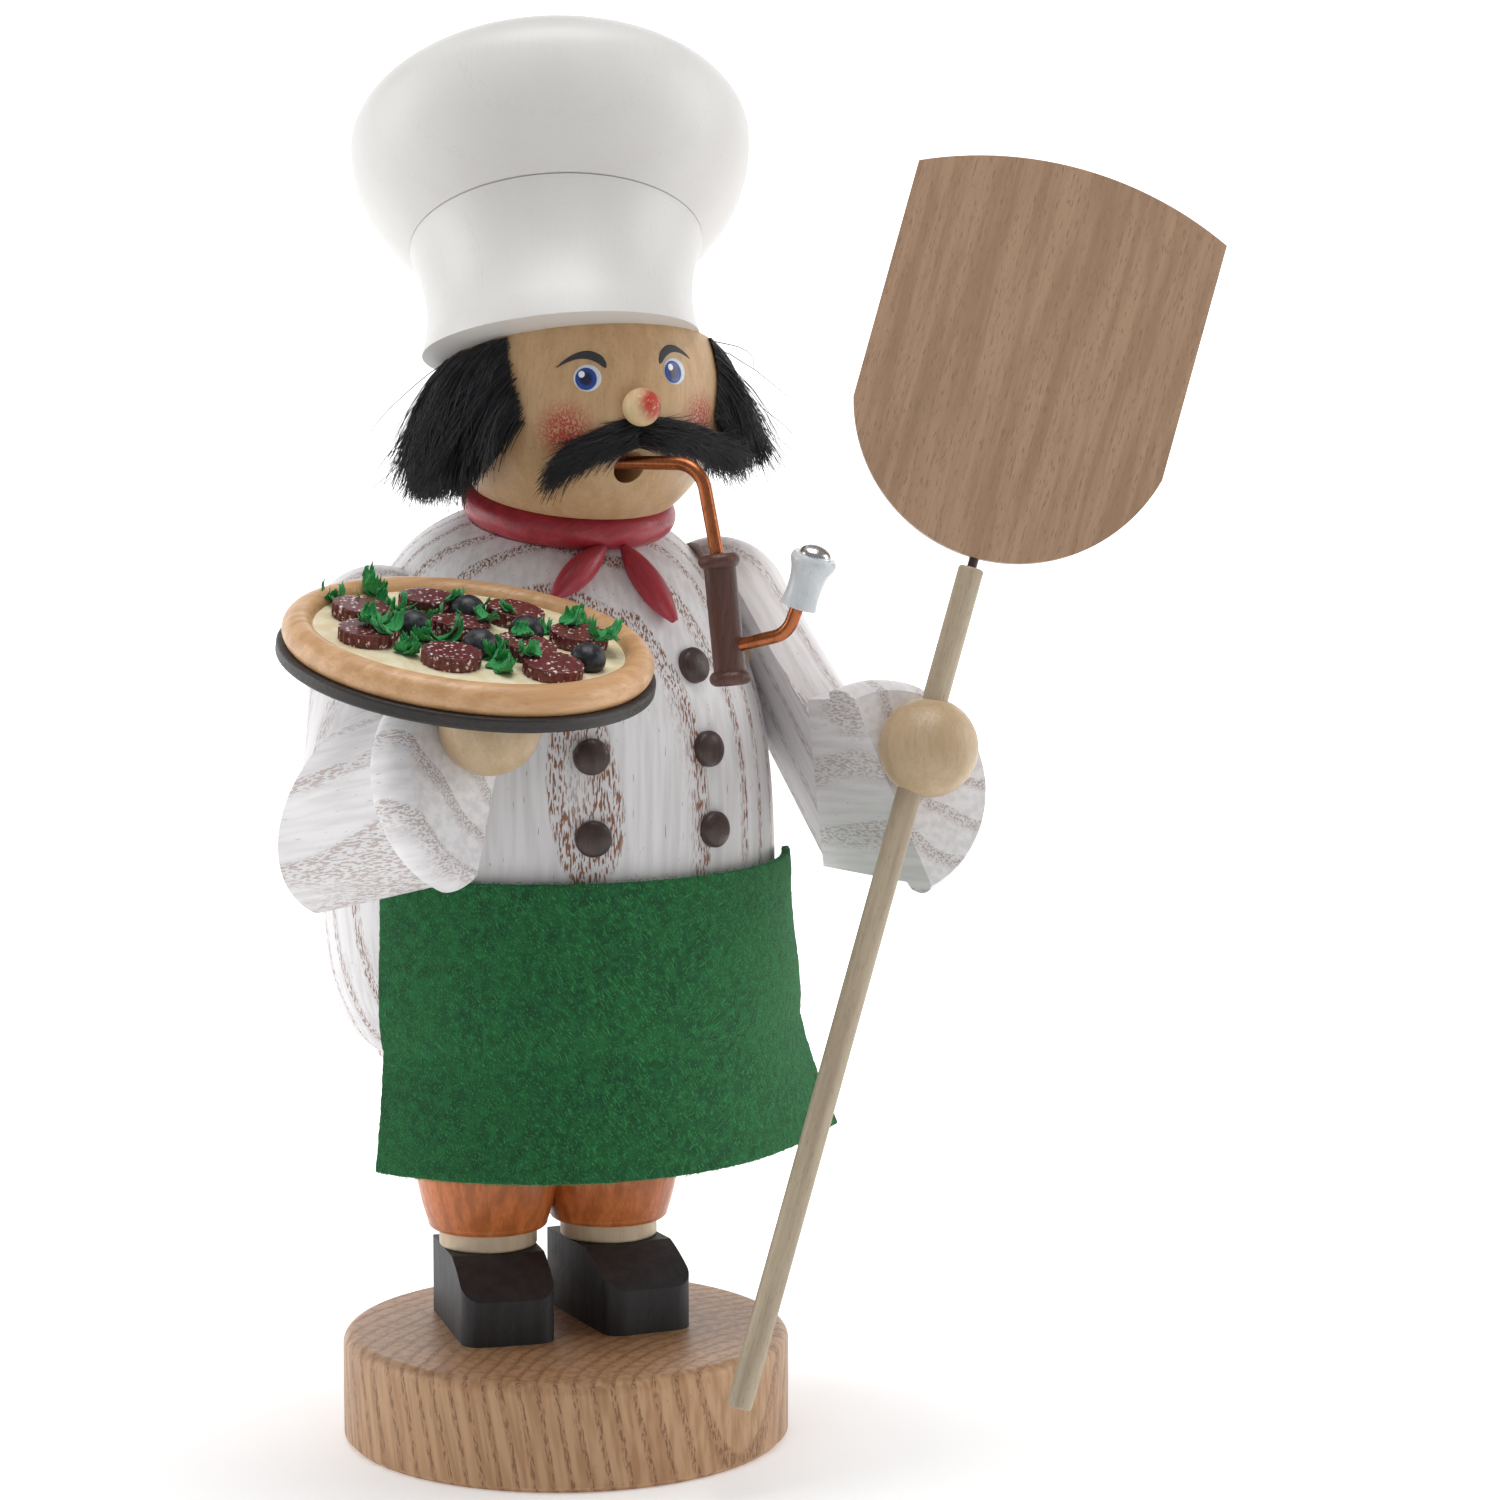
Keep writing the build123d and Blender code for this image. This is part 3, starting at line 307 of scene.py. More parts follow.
def rod(place, way, radius, length):
    """Round cutter or tenon from a place along a direction."""
    obj = primitive(bpy.ops.mesh.primitive_cylinder_add, vertices=ROD_SIDES, radius=radius, depth=length)
    obj.data.transform(standing(place, way) @ Matrix.Translation((0, 0, length / 2)))
    return obj


def soften(obj, width, angle=30, smooth=None):
    """Round the edges sharper than one angle and shade smooth what is flatter than the same or another."""
    apply(obj, "BEVEL", width=width, segments=3, limit_method="ANGLE", angle_limit=radians(angle))
    bpy.ops.object.shade_smooth_by_angle(angle=radians(smooth or angle))


def strands(name, paths, radius, taper):
    """Fibres along paths: curves with a square section that thins to the end, made into one mesh."""
    data = bpy.data.curves.new(name, "CURVE")
    data.dimensions = "3D"
    data.bevel_depth = radius
    data.bevel_resolution = 0
    data.use_fill_caps = True
    for path in paths:
        spline = data.splines.new("POLY")
        spline.points.add(len(path) - 1)
        for k, (point, place) in enumerate(zip(spline.points, path)):
            point.co = (*place, 1)
            point.radius = 1 - taper * k / (len(path) - 1)
    only(new_object(name, data))
    bpy.ops.object.convert(target="MESH")
    obj = bpy.context.active_object
    obj.name = name
    with editing(obj):
        bpy.ops.mesh.faces_shade_smooth()
    return obj


# Shader helpers

# Settings of the nodes that are used most: smooth step, mix of colours and four sums
SMOOTH = {"interpolation_type": "SMOOTHSTEP"}
COLOURS = {"data_type": "RGBA"}
TIMES = {"operation": "MULTIPLY"}
PLUS = {"operation": "ADD"}
MINUS = {"operation": "SUBTRACT"}
LARGER = {"operation": "MAXIMUM"}


def add(tree, kind, *inputs, **settings):
    """New shader node: its inputs in order, values or links, and its settings. Gives its first output."""
    node = tree.nodes.new("ShaderNode" + kind)
    for key, value in settings.items():
        setattr(node, key, value)
    for socket, value in zip([entry for entry in node.inputs if entry.enabled], inputs):
        if isinstance(value, NodeSocket):
            tree.links.new(value, socket)
        else:
            socket.default_value = value
    return next((entry for entry in node.outputs if entry.enabled), None)


def new_material(name):
    """Empty material, the function that adds a node to it, and its principled shader."""
    material = bpy.data.materials.new(name)
    material.use_nodes = True
    material.node_tree.nodes.clear()
    node = partial(add, material.node_tree)
    surface = node("BsdfPrincipled")
    node("OutputMaterial", surface)
    return material, node, surface.node


def connect(shader, base, rough, height=None, depth=0.05, **constants):
    """Link colour, roughness and relief, and set the shader's constant values."""
    tree = shader.id_data
    tree.links.new(base, shader.inputs["Base Color"])
    if isinstance(rough, NodeSocket):
        tree.links.new(rough, shader.inputs["Roughness"])
    else:
        shader.inputs["Roughness"].default_value = rough
    if height is not None:
        bump = add(tree, "Bump", 1.0, depth * MM)
        tree.links.new(height, bump.node.inputs["Height"])
        tree.links.new(bump, shader.inputs["Normal"])
    for key, value in constants.items():
        shader.inputs[key.replace("_", " ")].default_value = value


def space(node, axis=(0, 0, 1), pith=(0, 0, 0)):
    """Object coordinates turned so that Z runs along the grain, with the pith on the Z axis."""
    turn = Vector(axis).rotation_difference(Vector((0, 0, 1)))
    shift = -(turn @ (Vector(pith) * MM))
    return node("Mapping", node("TexCoord").node.outputs["Object"], shift, turn.to_euler())


def streaks(node, place, across, along, detail=2.0):
    """Noise drawn out along the grain, its grain size given across and along in mm."""
    scale = (1 / (across * MM), 1 / (across * MM), 1 / (along * MM))
    return node("TexNoise", node("Mapping", place, (0, 0, 0), (0, 0, 0), scale), 1.0, detail)


def year_share(node, place, spacing, waviness):
    """Place within one year's growth, from 0 at the early pores up to 1."""
    wave = node("Math", streaks(node, place, 16, 60, 1.0), 0.5, **MINUS)
    flat = node("SeparateXYZ", place).node.outputs
    squares = [node("Math", flat[k], flat[k], **TIMES) for k in (0, 1)]
    radius = node("Math", node("Math", *squares, **PLUS), operation="SQRT")
    shift = node("Math", wave, waviness * MM, **TIMES)
    years = node("Math", node("Math", radius, shift, **PLUS), spacing * MM, operation="DIVIDE")
    return node("Math", years, operation="FRACT")


def near(node, centre, reach, softness):
    """1 at a place on the object, falling to 0 at a distance in metres."""
    place = node("TexCoord").node.outputs["Object"]
    gap = node("VectorMath", place, centre, operation="DISTANCE")
    return node("MapRange", gap, reach * (1 - softness), reach, 1.0, 0.0, **SMOOTH)


# Materials


def ring_porous(name, base, late, pore, axis, pith, spacing, pore_strength, rough, waviness, coat=0.1):
    """Ash: bands of long open pores between smooth late wood, each band one year's growth."""
    material, node, shader = new_material(name)
    place = space(node, axis, pith)
    year = year_share(node, place, spacing, waviness)
    opening = node("MapRange", year, 0.0, 0.06, **SMOOTH)
    closing = node("MapRange", year, 0.2, 0.42, 1.0, 0.0, **SMOOTH)
    band = node("Math", opening, closing, **TIMES)
    dashes = node("MapRange", streaks(node, place, 0.3, 1.7, 1.5), 0.5, 0.58, **SMOOTH)
    stray = node("MapRange", streaks(node, place, 0.25, 3.5, 1.0), 0.74, 0.79, **SMOOTH)
    pores = node("Math", node("Math", band, dashes, **TIMES), stray, **LARGER)
    clouds = node("MapRange", streaks(node, place, 1.4, 24), 0.35, 0.7, **SMOOTH)
    tone = node("Mix", clouds, colour(base), colour(late), **COLOURS)
    tone = node("Mix", node("Math", band, 0.5, **TIMES), tone, colour(late), **COLOURS)
    shade = node("Mix", node("Math", pores, pore_strength, **TIMES), tone, colour(pore), **COLOURS)
    fibre = streaks(node, place, 0.16, 5)
    height = node("Math", node("Math", fibre, 0.15, **TIMES), pores, **MINUS)
    roughness = node("MapRange", fibre, 0.2, 0.8, rough - 0.06, rough + 0.08, **SMOOTH)
    connect(shader, shade, roughness, height, 0.07, IOR=1.5, Coat_Weight=coat, Coat_Roughness=0.35)
    return material


def close_grained(name, base, dark, axis, rough, fleck, cloud):
    """Beech, lime or maple: an even ground, soft clouds and short fine flecks along the grain."""
    material, node, shader = new_material(name)
    place = space(node, axis)
    soft = node("MapRange", streaks(node, place, 2.2, 30), 0.35, 0.68, **SMOOTH)
    lines = node("MapRange", streaks(node, place, 0.5, 9), 0.4, 0.72, **SMOOTH)
    flecks = node("MapRange", streaks(node, place, 0.24, 1.7, 1.0), 0.6, 0.7, **SMOOTH)
    tone = colour(base)
    for pattern, strength in ((soft, cloud), (lines, cloud * 0.55), (flecks, fleck)):
        tone = node("Mix", node("Math", pattern, strength, **TIMES), tone, colour(dark), **COLOURS)
    height = node("Math", node("Math", lines, 0.3, **TIMES), flecks, **MINUS)
    roughness = node("MapRange", lines, 0.0, 1.0, rough - 0.05, rough + 0.06, **SMOOTH)
    connect(shader, tone, roughness, height, 0.03, IOR=1.5, Coat_Weight=0.05, Coat_Roughness=0.4)
    return material, node, shader


def metal(name, base, tarnish, rough, grain):
    """Bare metal with faint drawn scratches and a cloud of tarnish."""
    material, node, shader = new_material(name)
    place = space(node)
    cloud = node("MapRange", streaks(node, place, 2.5, 2.5, 4.0), 0.45, 0.7, **SMOOTH)
    scratch = streaks(node, place, 0.12, 1.6)
    shade = node("Mix", node("Math", cloud, grain, **TIMES), colour(base), colour(tarnish), **COLOURS)
    roughness = node("MapRange", scratch, 0.3, 0.7, rough - 0.05, rough + 0.1, **SMOOTH)
    connect(shader, shade, roughness, scratch, 0.01, Metallic=1.0)
    return material


def paint(name, base, shadow, rough):
    """Thin brushed paint, a shade darker where it is thinnest."""
    material, node, shader = new_material(name)
    brush = streaks(node, space(node), 0.18, 1.2)
    thin = node("MapRange", brush, 0.4, 0.75, 0.0, 0.5, **SMOOTH)
    shade = node("Mix", thin, colour(base), colour(shadow), **COLOURS)
    connect(shader, shade, rough, brush, 0.01, IOR=1.48)
    return material


def face_wood():
    """Pale lime with vertical flecks and two cheeks of stippled red."""
    grain = (0.05, 0, 1)
    material, node, shader = close_grained("face_lime_wood", "CBA87E", "AC8459", grain, 0.42, 0.5, 0.35)
    tone = shader.inputs["Base Color"].links[0].from_socket
    spots = node("MapRange", streaks(node, space(node), 0.4, 0.4, 1.0), 0.42, 0.5, **SMOOTH)
    wash = node("MapRange", streaks(node, space(node), 1.2, 1.2, 1.0), 0.4, 0.7, 0.25, 0.6, **SMOOTH)
    stipple = node("Math", spots, wash, **LARGER)
    for column, row, reach in CHEEKS:
        spread = near(node, on_head(*seen_on_head(column, row)), reach * MM, 0.8)
        cover = node("Math", spread, stipple, **TIMES)
        tone = node("Mix", cover, tone, colour("A8361C"), **COLOURS)
    shader.id_data.links.new(tone, shader.inputs["Base Color"])
    return material


def nose_wood():
    """Pale bead with a dabbed red spot on its front."""
    material, node, shader = close_grained("nose_bead_wood", "E0C79C", "C9A874", (0, 0, 1), 0.4, 0.3, 0.3)
    tone = shader.inputs["Base Color"].links[0].from_socket
    low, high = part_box("nose")
    spot = (low + high) / 2 + Vector((0.8, -3.4, 0.5)) * MM
    dabs = node("MapRange", streaks(node, space(node), 0.5, 0.5, 2.0), 0.28, 0.46, 0.25, 1.0, **SMOOTH)
    cover = node("Math", near(node, spot, 3.3 * MM, 0.5), dabs, **TIMES)
    red = node("Mix", cover, tone, colour("B5321E"), **COLOURS)
    shader.id_data.links.new(red, shader.inputs["Base Color"])
    return material


def hat_paint(ground):
    """White stain that fills the pores, with the finest grey lines of the turned wood left in it."""
    material, node, shader = new_material("white_stained_hat")
    place = space(node, (0.18, 0.46, 0.87), (20, 60, 0))
    band = node("MapRange", year_share(node, place, 6.0, 4.0), 0.1, 0.3, 1.0, 0.0, **SMOOTH)
    lines = node("MapRange", streaks(node, place, 0.2, 5, 1.0), 0.57, 0.7, **SMOOTH)
    share = node("Math", node("Math", band, 0.7, **TIMES), 0.25, **LARGER)
    faint = node("Math", share, lines, **TIMES)
    cloud = node("MapRange", streaks(node, place, 14, 30), 0.3, 0.7, 0.0, 0.4, **SMOOTH)
    tone = node("Mix", cloud, ground, colour("D0CDCA"), **COLOURS)
    shade = node("Mix", node("Math", faint, 0.35, **TIMES), tone, colour("B9B4AE"), **COLOURS)
    height = node("Math", faint, -1.0, **TIMES)
    connect(shader, shade, 0.42, height, 0.02, IOR=1.5, Coat_Weight=0.15, Coat_Roughness=0.3)
    return material


def felt(ground):
    """Green wool felt: matted fibres in dark and lighter greens with painted highlights on the brightest,
    furry at grazing angles.
    """
    material, node, shader = new_material("green_wool_felt")
    place = space(node)
    warp = streaks(node, place, 1.6, 1.6, 3.0)
    ways = ((1, 0.3, 0.6), (-0.7, 0.2, 0.9), (0.5, 0, -1))
    crossed = [streaks(node, space(node, axis), 0.2, 1.7, 2.5) for axis in ways]
    fibres = node("Math", crossed[0], node("Math", crossed[1], crossed[2], **LARGER), **LARGER)
    matted = node("MapRange", warp, 0.35, 0.7, **SMOOTH)
    wide = node("MapRange", streaks(node, place, 9, 9), 0.35, 0.7, 0.0, 0.4, **SMOOTH)
    # Painted highlight: where the crossed fibre noise is high the green is mixed towards a pale green
    light = node("Math", node("MapRange", fibres, 0.6, 0.7, **SMOOTH), 0.85, **TIMES)
    tone = node("Mix", matted, ground, colour("1B6637"), **COLOURS)
    tone = node("Mix", wide, tone, colour("1C6635"), **COLOURS)
    shade = node("Mix", light, tone, colour("3F9A52"), **COLOURS)
    height = node("Math", fibres, node("Math", warp, 0.6, **TIMES), **PLUS)
    sheen = {"Sheen_Weight": 0.25, "Sheen_Roughness": 0.5, "Sheen_Tint": colour("7CC98A")}
    connect(shader, shade, 0.95, height, 0.35, **sheen)
    return material


def fibre_green(name, base, tip):
    """Single loose fibres and crinkled green leaf strips."""
    material, node, shader = new_material(name)
    ribs = streaks(node, space(node, (0.4, 0.2, 1)), 0.22, 2.2)
    light = node("MapRange", ribs, 0.35, 0.68, **SMOOTH)
    shade = node("Mix", light, colour(base), colour(tip), **COLOURS)
    connect(shader, shade, 0.7, ribs, 0.12, Sheen_Weight=0.2)
    return material


def fur(ground):
    """Black dyed fur with a painted sheen: patches of lighter blue-grey laid on by noise."""
    material, node, shader = new_material("black_dyed_fur")
    sheen_noise = streaks(node, space(node), 0.6, 2.0)
    # Painted sheen: where the noise is high the black is mixed towards a lighter blue-grey
    shine = node("MapRange", sheen_noise, 0.4, 0.7, **SMOOTH)
    shade = node("Mix", shine, ground, colour("26262C"), **COLOURS)
    connect(shader, shade, node("MapRange", sheen_noise, 0.3, 0.7, 0.34, 0.5, **SMOOTH), IOR=1.55)
    return material


def salami():
    """Dark red dough with torn white flecks of fat."""
    material, node, shader = new_material("salami_dough")
    place = node("TexCoord").node.outputs["Object"]
    bent = streaks(node, space(node), 0.5, 0.5)
    spread = node("VectorMath", place, 1 / (1.05 * MM), operation="SCALE")
    cells = node("TexVoronoi", node("VectorMath", spread, bent, **PLUS), 1.0, feature="F1")
    gate = node("MapRange", streaks(node, space(node), 0.8, 0.8, 1.0), 0.4, 0.5, **SMOOTH)
    fat = node("Math", node("MapRange", cells, 0.22, 0.34, 1.0, 0.0, **SMOOTH), gate, **TIMES)
    lean = node("MapRange", bent, 0.4, 0.7, **SMOOTH)
    tone = node("Mix", lean, colour("571E22"), colour("7A2F34"), **COLOURS)
    shade = node("Mix", fat, tone, colour("EFDFDC"), **COLOURS)
    height = node("Math", bent, fat, **MINUS)
    connect(shader, shade, 0.38, height, 0.05, IOR=1.46, Coat_Weight=0.2)
    return material


def cheese(ground):
    """Cream paint stippled like melted cheese."""
    material, node, shader = new_material("cheese_cream_paint")
    lumps = streaks(node, space(node), 2.6, 2.6, 3.0)
    grain = streaks(node, space(node), 0.3, 0.3)
    hollows = node("MapRange", lumps, 0.35, 0.7, **SMOOTH)
    dots = node("MapRange", grain, 0.55, 0.7, 0.0, 0.4, **SMOOTH)
    tone = node("Mix", hollows, ground, colour("E6D6AC"), **COLOURS)
    shade = node("Mix", dots, tone, colour("D9C496"), **COLOURS)
    height = node("Math", lumps, node("Math", grain, 0.2, **TIMES), **PLUS)
    connect(shader, shade, 0.5, height, 0.35)
    return material


def olive():
    """Black olive: dull skin with a bluish bloom."""
    material, node, shader = new_material("black_olive_skin")
    bloom = node("MapRange", streaks(node, space(node), 0.9, 0.9, 3.0), 0.4, 0.7, **SMOOTH)
    shade = node("Mix", bloom, colour("1C1E21"), colour("34393E"), **COLOURS)
    dull = node("MapRange", bloom, 0.0, 1.0, 0.34, 0.55, **SMOOTH)
    connect(shader, shade, dull, bloom, 0.03, IOR=1.45)
    return material


def iris():
    """Blue paint, darkest in the middle of the eye."""
    material, node, shader = new_material("iris_blue_paint")
    tone = colour("173F90")
    for eye in EYES:
        middle = near(node, on_head(*seen_on_head(*eye[1])), 1.3 * MM, 0.4)
        tone = node("Mix", middle, tone, colour("08123A"), **COLOURS)
    brush = streaks(node, space(node), 0.1, 0.1)
    light = node("MapRange", brush, 0.5, 0.8, 0.0, 0.15, **SMOOTH)
    shade = node("Mix", light, tone, colour("4C7FCB"), **COLOURS)
    connect(shader, shade, 0.3, brush, 0.005, Coat_Weight=0.4)
    return material


def sweep_paper(glow):
    """White studio paper, faintly mottled, that glows away from the figure as if lit from behind."""
    material, node, shader = new_material("pale_paper")
    mottle = streaks(node, space(node), 40, 40)
    shade = node("Mix", mottle, colour("F9F9F9"), colour("F4F4F5"), **COLOURS)
    connect(shader, shade, 0.8, Emission_Color=colour("FFFFFF"))
    here = near(node, LOOK * -0.5, 1.0, 0.7)
    light = node("MapRange", here, 0.0, 1.0, 1.0, glow, **SMOOTH)
    shader.id_data.links.new(light, shader.inputs["Emission Strength"])
    return material


# Face


# Each eye's white, iris and glint, at pixels of the photograph
EYES = (
    ((587.5, 378.0), (586.0, 379.0), (581.5, 374.5)),
    ((674.5, 371.0), (672.8, 372.0), (669.8, 367.3)),
)

# Each eyebrow from the nose over its arch to its tip
BROWS = (
    ("eyebrow_right", ((606.5, 365.5), (584.0, 355.0), (556.5, 367.5))),
    ("eyebrow_left", ((659.0, 361.5), (671.5, 348.5), (689.5, 358.5))),
)

# Each cheek: its middle in the photograph and its radius in mm
CHEEKS = ((565, 432, 6.6), (700, 421, 6.2))


def sight(column, row):
    """Direction from the camera through a pixel of the photograph."""
    middle = PICTURE_PIXELS / 2
    return LOOK * FOCAL_PIXELS + SIDE * (column - middle) - RISE * (row - middle)


def on_head(azimuth, elevation, lift=0.0):
    """Point over the head ball, turned from -Y and raised, in degrees."""
    turn, rise = radians(azimuth), radians(elevation)
    way = Vector((sin(turn) * cos(rise), -cos(turn) * cos(rise), sin(rise)))
    return HEAD + way * (HEAD_RADIUS + lift)


def seen_on_head(column, row):
    """Turn and height, in degrees, of the place on the ball that the photograph shows at a pixel."""
    ray = sight(column, row).normalized()
    across = CAMERA_PLACE - HEAD
    half = across.dot(ray)
    under = half * half - across.length_squared + HEAD_RADIUS**2
    if under < 0:
        raise ValueError(f"pixel {column}, {row} misses the head")
    way = (CAMERA_PLACE + ray * (-half - under**0.5) - HEAD).normalized()
    return degrees(atan2(way.x, -way.y)), degrees(asin(way.z))


def beside(azimuth, elevation, right, up, lift):
    """Point on the head beside another, moved in metres along the surface."""
    rise = elevation + degrees(up / HEAD_RADIUS)
    turn = azimuth + degrees(right / (HEAD_RADIUS * cos(radians(elevation))))
    return on_head(turn, rise, lift)


def along_stops(stops, share):
    """Values at a share of the way along a curve through three stops."""
    weights = ((1 - share) * (1 - 2 * share), 4 * share * (1 - share), share * (2 * share - 1))
    return [sum(w * stop[k] for w, stop in zip(weights, stops)) for k in range(len(stops[0]))]


def painted_spot(name, azimuth, elevation, half_width, half_height, lift, material):
    """Round of paint that follows the ball: an inset disc laid on the head and thickened."""
    obj = primitive(bpy.ops.mesh.primitive_circle_add, vertices=40, radius=1, fill_type="NGON")
    obj.name = name
    with editing(obj):
        for share in (0.12, 0.28, 0.28, 0.2):
            bpy.ops.mesh.inset(thickness=share)
        bpy.ops.mesh.poke()
    dome = 0.05 * MM

    def rule(x, y):
        bulge = dome * max(0, 1 - x * x - y * y)
        return beside(azimuth, elevation, x * half_width, y * half_height, lift + bulge)

    lay_out(obj, rule)
    apply(obj, "SOLIDIFY", thickness=0.04 * MM, offset=-1)
    outward(obj)
    settle(obj, material)


def brow(name, stops, thickness, material):
    """Painted eyebrow: a bent strip, thick and round at the nose and pointed outside."""
    obj = grid(name, 24, 4)

    def rule(x, y):
        share = (x + 1) / 2
        azimuth, elevation = along_stops(stops, share)
        width = thickness * min(1, (share + 0.02) * 9) ** 0.5 * max(0.02, 1 - share) ** 0.55
        return beside(azimuth, elevation, 0, y * width / 2, 0.04 * MM)

    lay_out(obj, rule)
    apply(obj, "SUBSURF", levels=1)
    apply(obj, "SOLIDIFY", thickness=0.05 * MM, offset=-1)
    outward(obj)
    settle(obj, material)


# Fur


def hair_front(elevation):
    """Angle from the middle of the face at which the fur begins, at one height."""
    level = elevation + 8
    return HAIR_EDGE + level * 0.32 if level > 0 else HAIR_EDGE - level * 2.0


def over_rim(point):
    """Height of a point over the face between head and hat, less than 0 below it."""
    return (point - RIM).dot(RIM_NORMAL)


def hair_path(turn, elevation, rng, wild):
    """One hair that leaves the pelt sideways and hangs to the cut edge."""
    side = 1 if turn > 0 else -1
    root = on_head(FACE_TURN + turn, elevation, 0.5 * MM)
    point = root
    path = [point]
    out = (point - HEAD).normalized()
    back = Vector((out.y, -out.x, 0)).normalized() * -side
    sweep = 0.45 if abs(turn) < 100 else 0.1
    way = out * (0.6 + 0.5 * wild) + DOWN * 0.6 + back * sweep
    short, right, left = HAIR_CUTS
    full = right if turn < 0 or turn > 150 else left
    cut = short + (full - short) * min(1, max(0, (abs(turn) - HAIR_EDGE) / HAIR_CUT_SPREAD))
    target = HEAD.z - (cut + rng.gauss(0, 1.2)) * MM
    clump = noise.noise_vector(root * 330) * 0.55
    for k in range(6):
        jitter = Vector([rng.gauss(0, 0.05 + 0.12 * wild) for _ in range(3)])
        way = (way + DOWN * (0.42 - 0.3 * wild) + clump * 0.5 + jitter).normalized()
        point = point + way * 2.7 * MM
        radial = point - HEAD
        least = HEAD_RADIUS + (0.7 + 0.25 * k) * MM
        if radial.length < least:
            point = HEAD + radial.normalized() * least
        over = over_rim(point) + 0.6 * MM
        if over > 0:
            point = point - RIM_NORMAL * over
        path.append(point)
        if point.z < target:
            break
    return path


def hair_paths(count, start, end, seed):
    """Hairs over one part of the pelt, turned from start to end in degrees from the face."""
    rng = random.Random(seed)
    paths = []
    while len(paths) < count:
        elevation = rng.uniform(-20, 30)
        turn = rng.uniform(start, end)
        if abs(turn) < hair_front(elevation) + rng.gauss(0, 0.8):
            continue
        if over_rim(on_head(FACE_TURN + turn, elevation, 0.5 * MM)) > -0.4 * MM:
            continue
        wild = rng.uniform(0.3, 0.8) if rng.random() < 0.012 else rng.uniform(0, 0.1)
        paths.append(hair_path(turn, elevation, rng, wild))
    return paths


def moustache_paths(stops, count, seed):
    """Hairs of one half of the moustache; stops are turn, height and lift at its start, middle and end."""
    rng = random.Random(seed)
    paths = []
    for _ in range(count):
        start = rng.uniform(0, 0.74) ** 0.9
        end = start + rng.uniform(0.24, 0.36)
        across = max(-1.0, min(1.0, rng.gauss(0, 0.52)))
        height = rng.random()
        droop = rng.uniform(0.2, 1.5)
        splay = rng.gauss(0, 0.5)
        path = []
        for k in range(6):
            share = start + (end - start) * k / 5
            turn, rise, lift = along_stops(stops, share)
            middle = 2.7 * (1 - 0.2 * share)
            up = across * middle + (splay * 2.2 - droop) * (k / 5) ** 2
            cover = (1 - across * across) ** 0.5 * 2.6 * height
            out = 0.15 + cover * min(1, k * 0.6) + lift * share * share
            path.append(beside(turn, rise, 0, up * MM, out * MM))
        paths.append(path)
    return paths


# Apron


def jacket_radius(height):
    """Radius of the jacket at a height above its foot."""
    share = height / JACKET_HEIGHT
    for (r0, h0), (r1, h1) in zip(JACKET_SHARES, JACKET_SHARES[1:]):
        if share <= h1:
            part = max(0, (share - h0) / (h1 - h0))
            return (r0 + (r1 - r0) * part) * JACKET_RADIUS
    return JACKET_SHARES[-1][0] * JACKET_RADIUS


def apron_point(x, y, lift=0.0):
    """Point on the felt's outer face; x runs from its right edge to its left, y from hem to top."""
    drop = (1 - y) / 2
    height = APRON_RISE - drop * APRON_DROP
    near_radius = jacket_radius(max(height, 5 * MM))
    widest = jacket_radius(APRON_RISE)
    base = max(near_radius, widest * (1 - drop) + near_radius * drop) + APRON_GAP
    right, front, left = APRON_FLARES
    corner = left if x > 0 else right
    flare = front + (corner - front) * x**4
    radius = base + flare * drop * drop + APRON_THICKNESS + lift
    turn = radians(APRON_TURN + APRON_HALF_ANGLE * x)
    return JACKET_FOOT + Vector((radius * sin(turn), -radius * cos(turn), height))


def felt_fibre(rng):
    """One loose fibre: an arc lying on the felt, or standing out at its cut edge."""
    x, y = rng.uniform(-1, 1), rng.uniform(-1, 1)
    edge = rng.random() < 0.14
    if edge:
        border = rng.choice(("x", "y"))
        x = rng.choice((-1, 1)) if border == "x" else x
        y = rng.choice((-1, -1, 1)) if border == "y" else y
    turn = rng.uniform(0, 2 * pi)
    long = rng.uniform(0.6, 1.7)
    bow = rng.gauss(0, 0.35)
    path = []
    for k in range(4):
        share = k / 3 - 0.5
        along, across = share * long, bow * (0.25 - share * share) * 2
        dx = (along * cos(turn) - across * sin(turn)) / FELT_HALF[0]
        dy = (along * sin(turn) + across * cos(turn)) / FELT_HALF[1]
        lift = (0.02 + 0.28 * (0.25 - share * share)) * MM
        reach = 1.012 if edge else 0.995
        path.append(apron_point(max(-reach, min(reach, x + dx)), max(-reach, min(reach, y + dy)), lift))
    return path


# Pizza


def cheese_frame():
    """Matrix of the cheese's top: its X to the figure's left, its Z square to the tray."""
    normal = Vector((sin(TRAY_ROLL) * cos(TRAY_PITCH), -sin(TRAY_PITCH), cos(TRAY_ROLL) * cos(TRAY_PITCH)))
    across = Vector((cos(TRAY_ROLL), 0, -sin(TRAY_ROLL)))
    matrix = Matrix((across, normal.cross(across), normal)).transposed().to_4x4()
    matrix.translation = TRAY_CENTRE + normal * CHEESE_RISE
    return matrix


def seen_on_cheese(column, row):
    """Place on the cheese that the photograph shows at one of its pixels."""
    ray = sight(column, row)
    top = cheese_frame()
    normal = top.col[2].to_3d()
    reach = (top.translation - CAMERA_PLACE).dot(normal) / ray.dot(normal)
    return top.inverted() @ (CAMERA_PLACE + ray * reach)


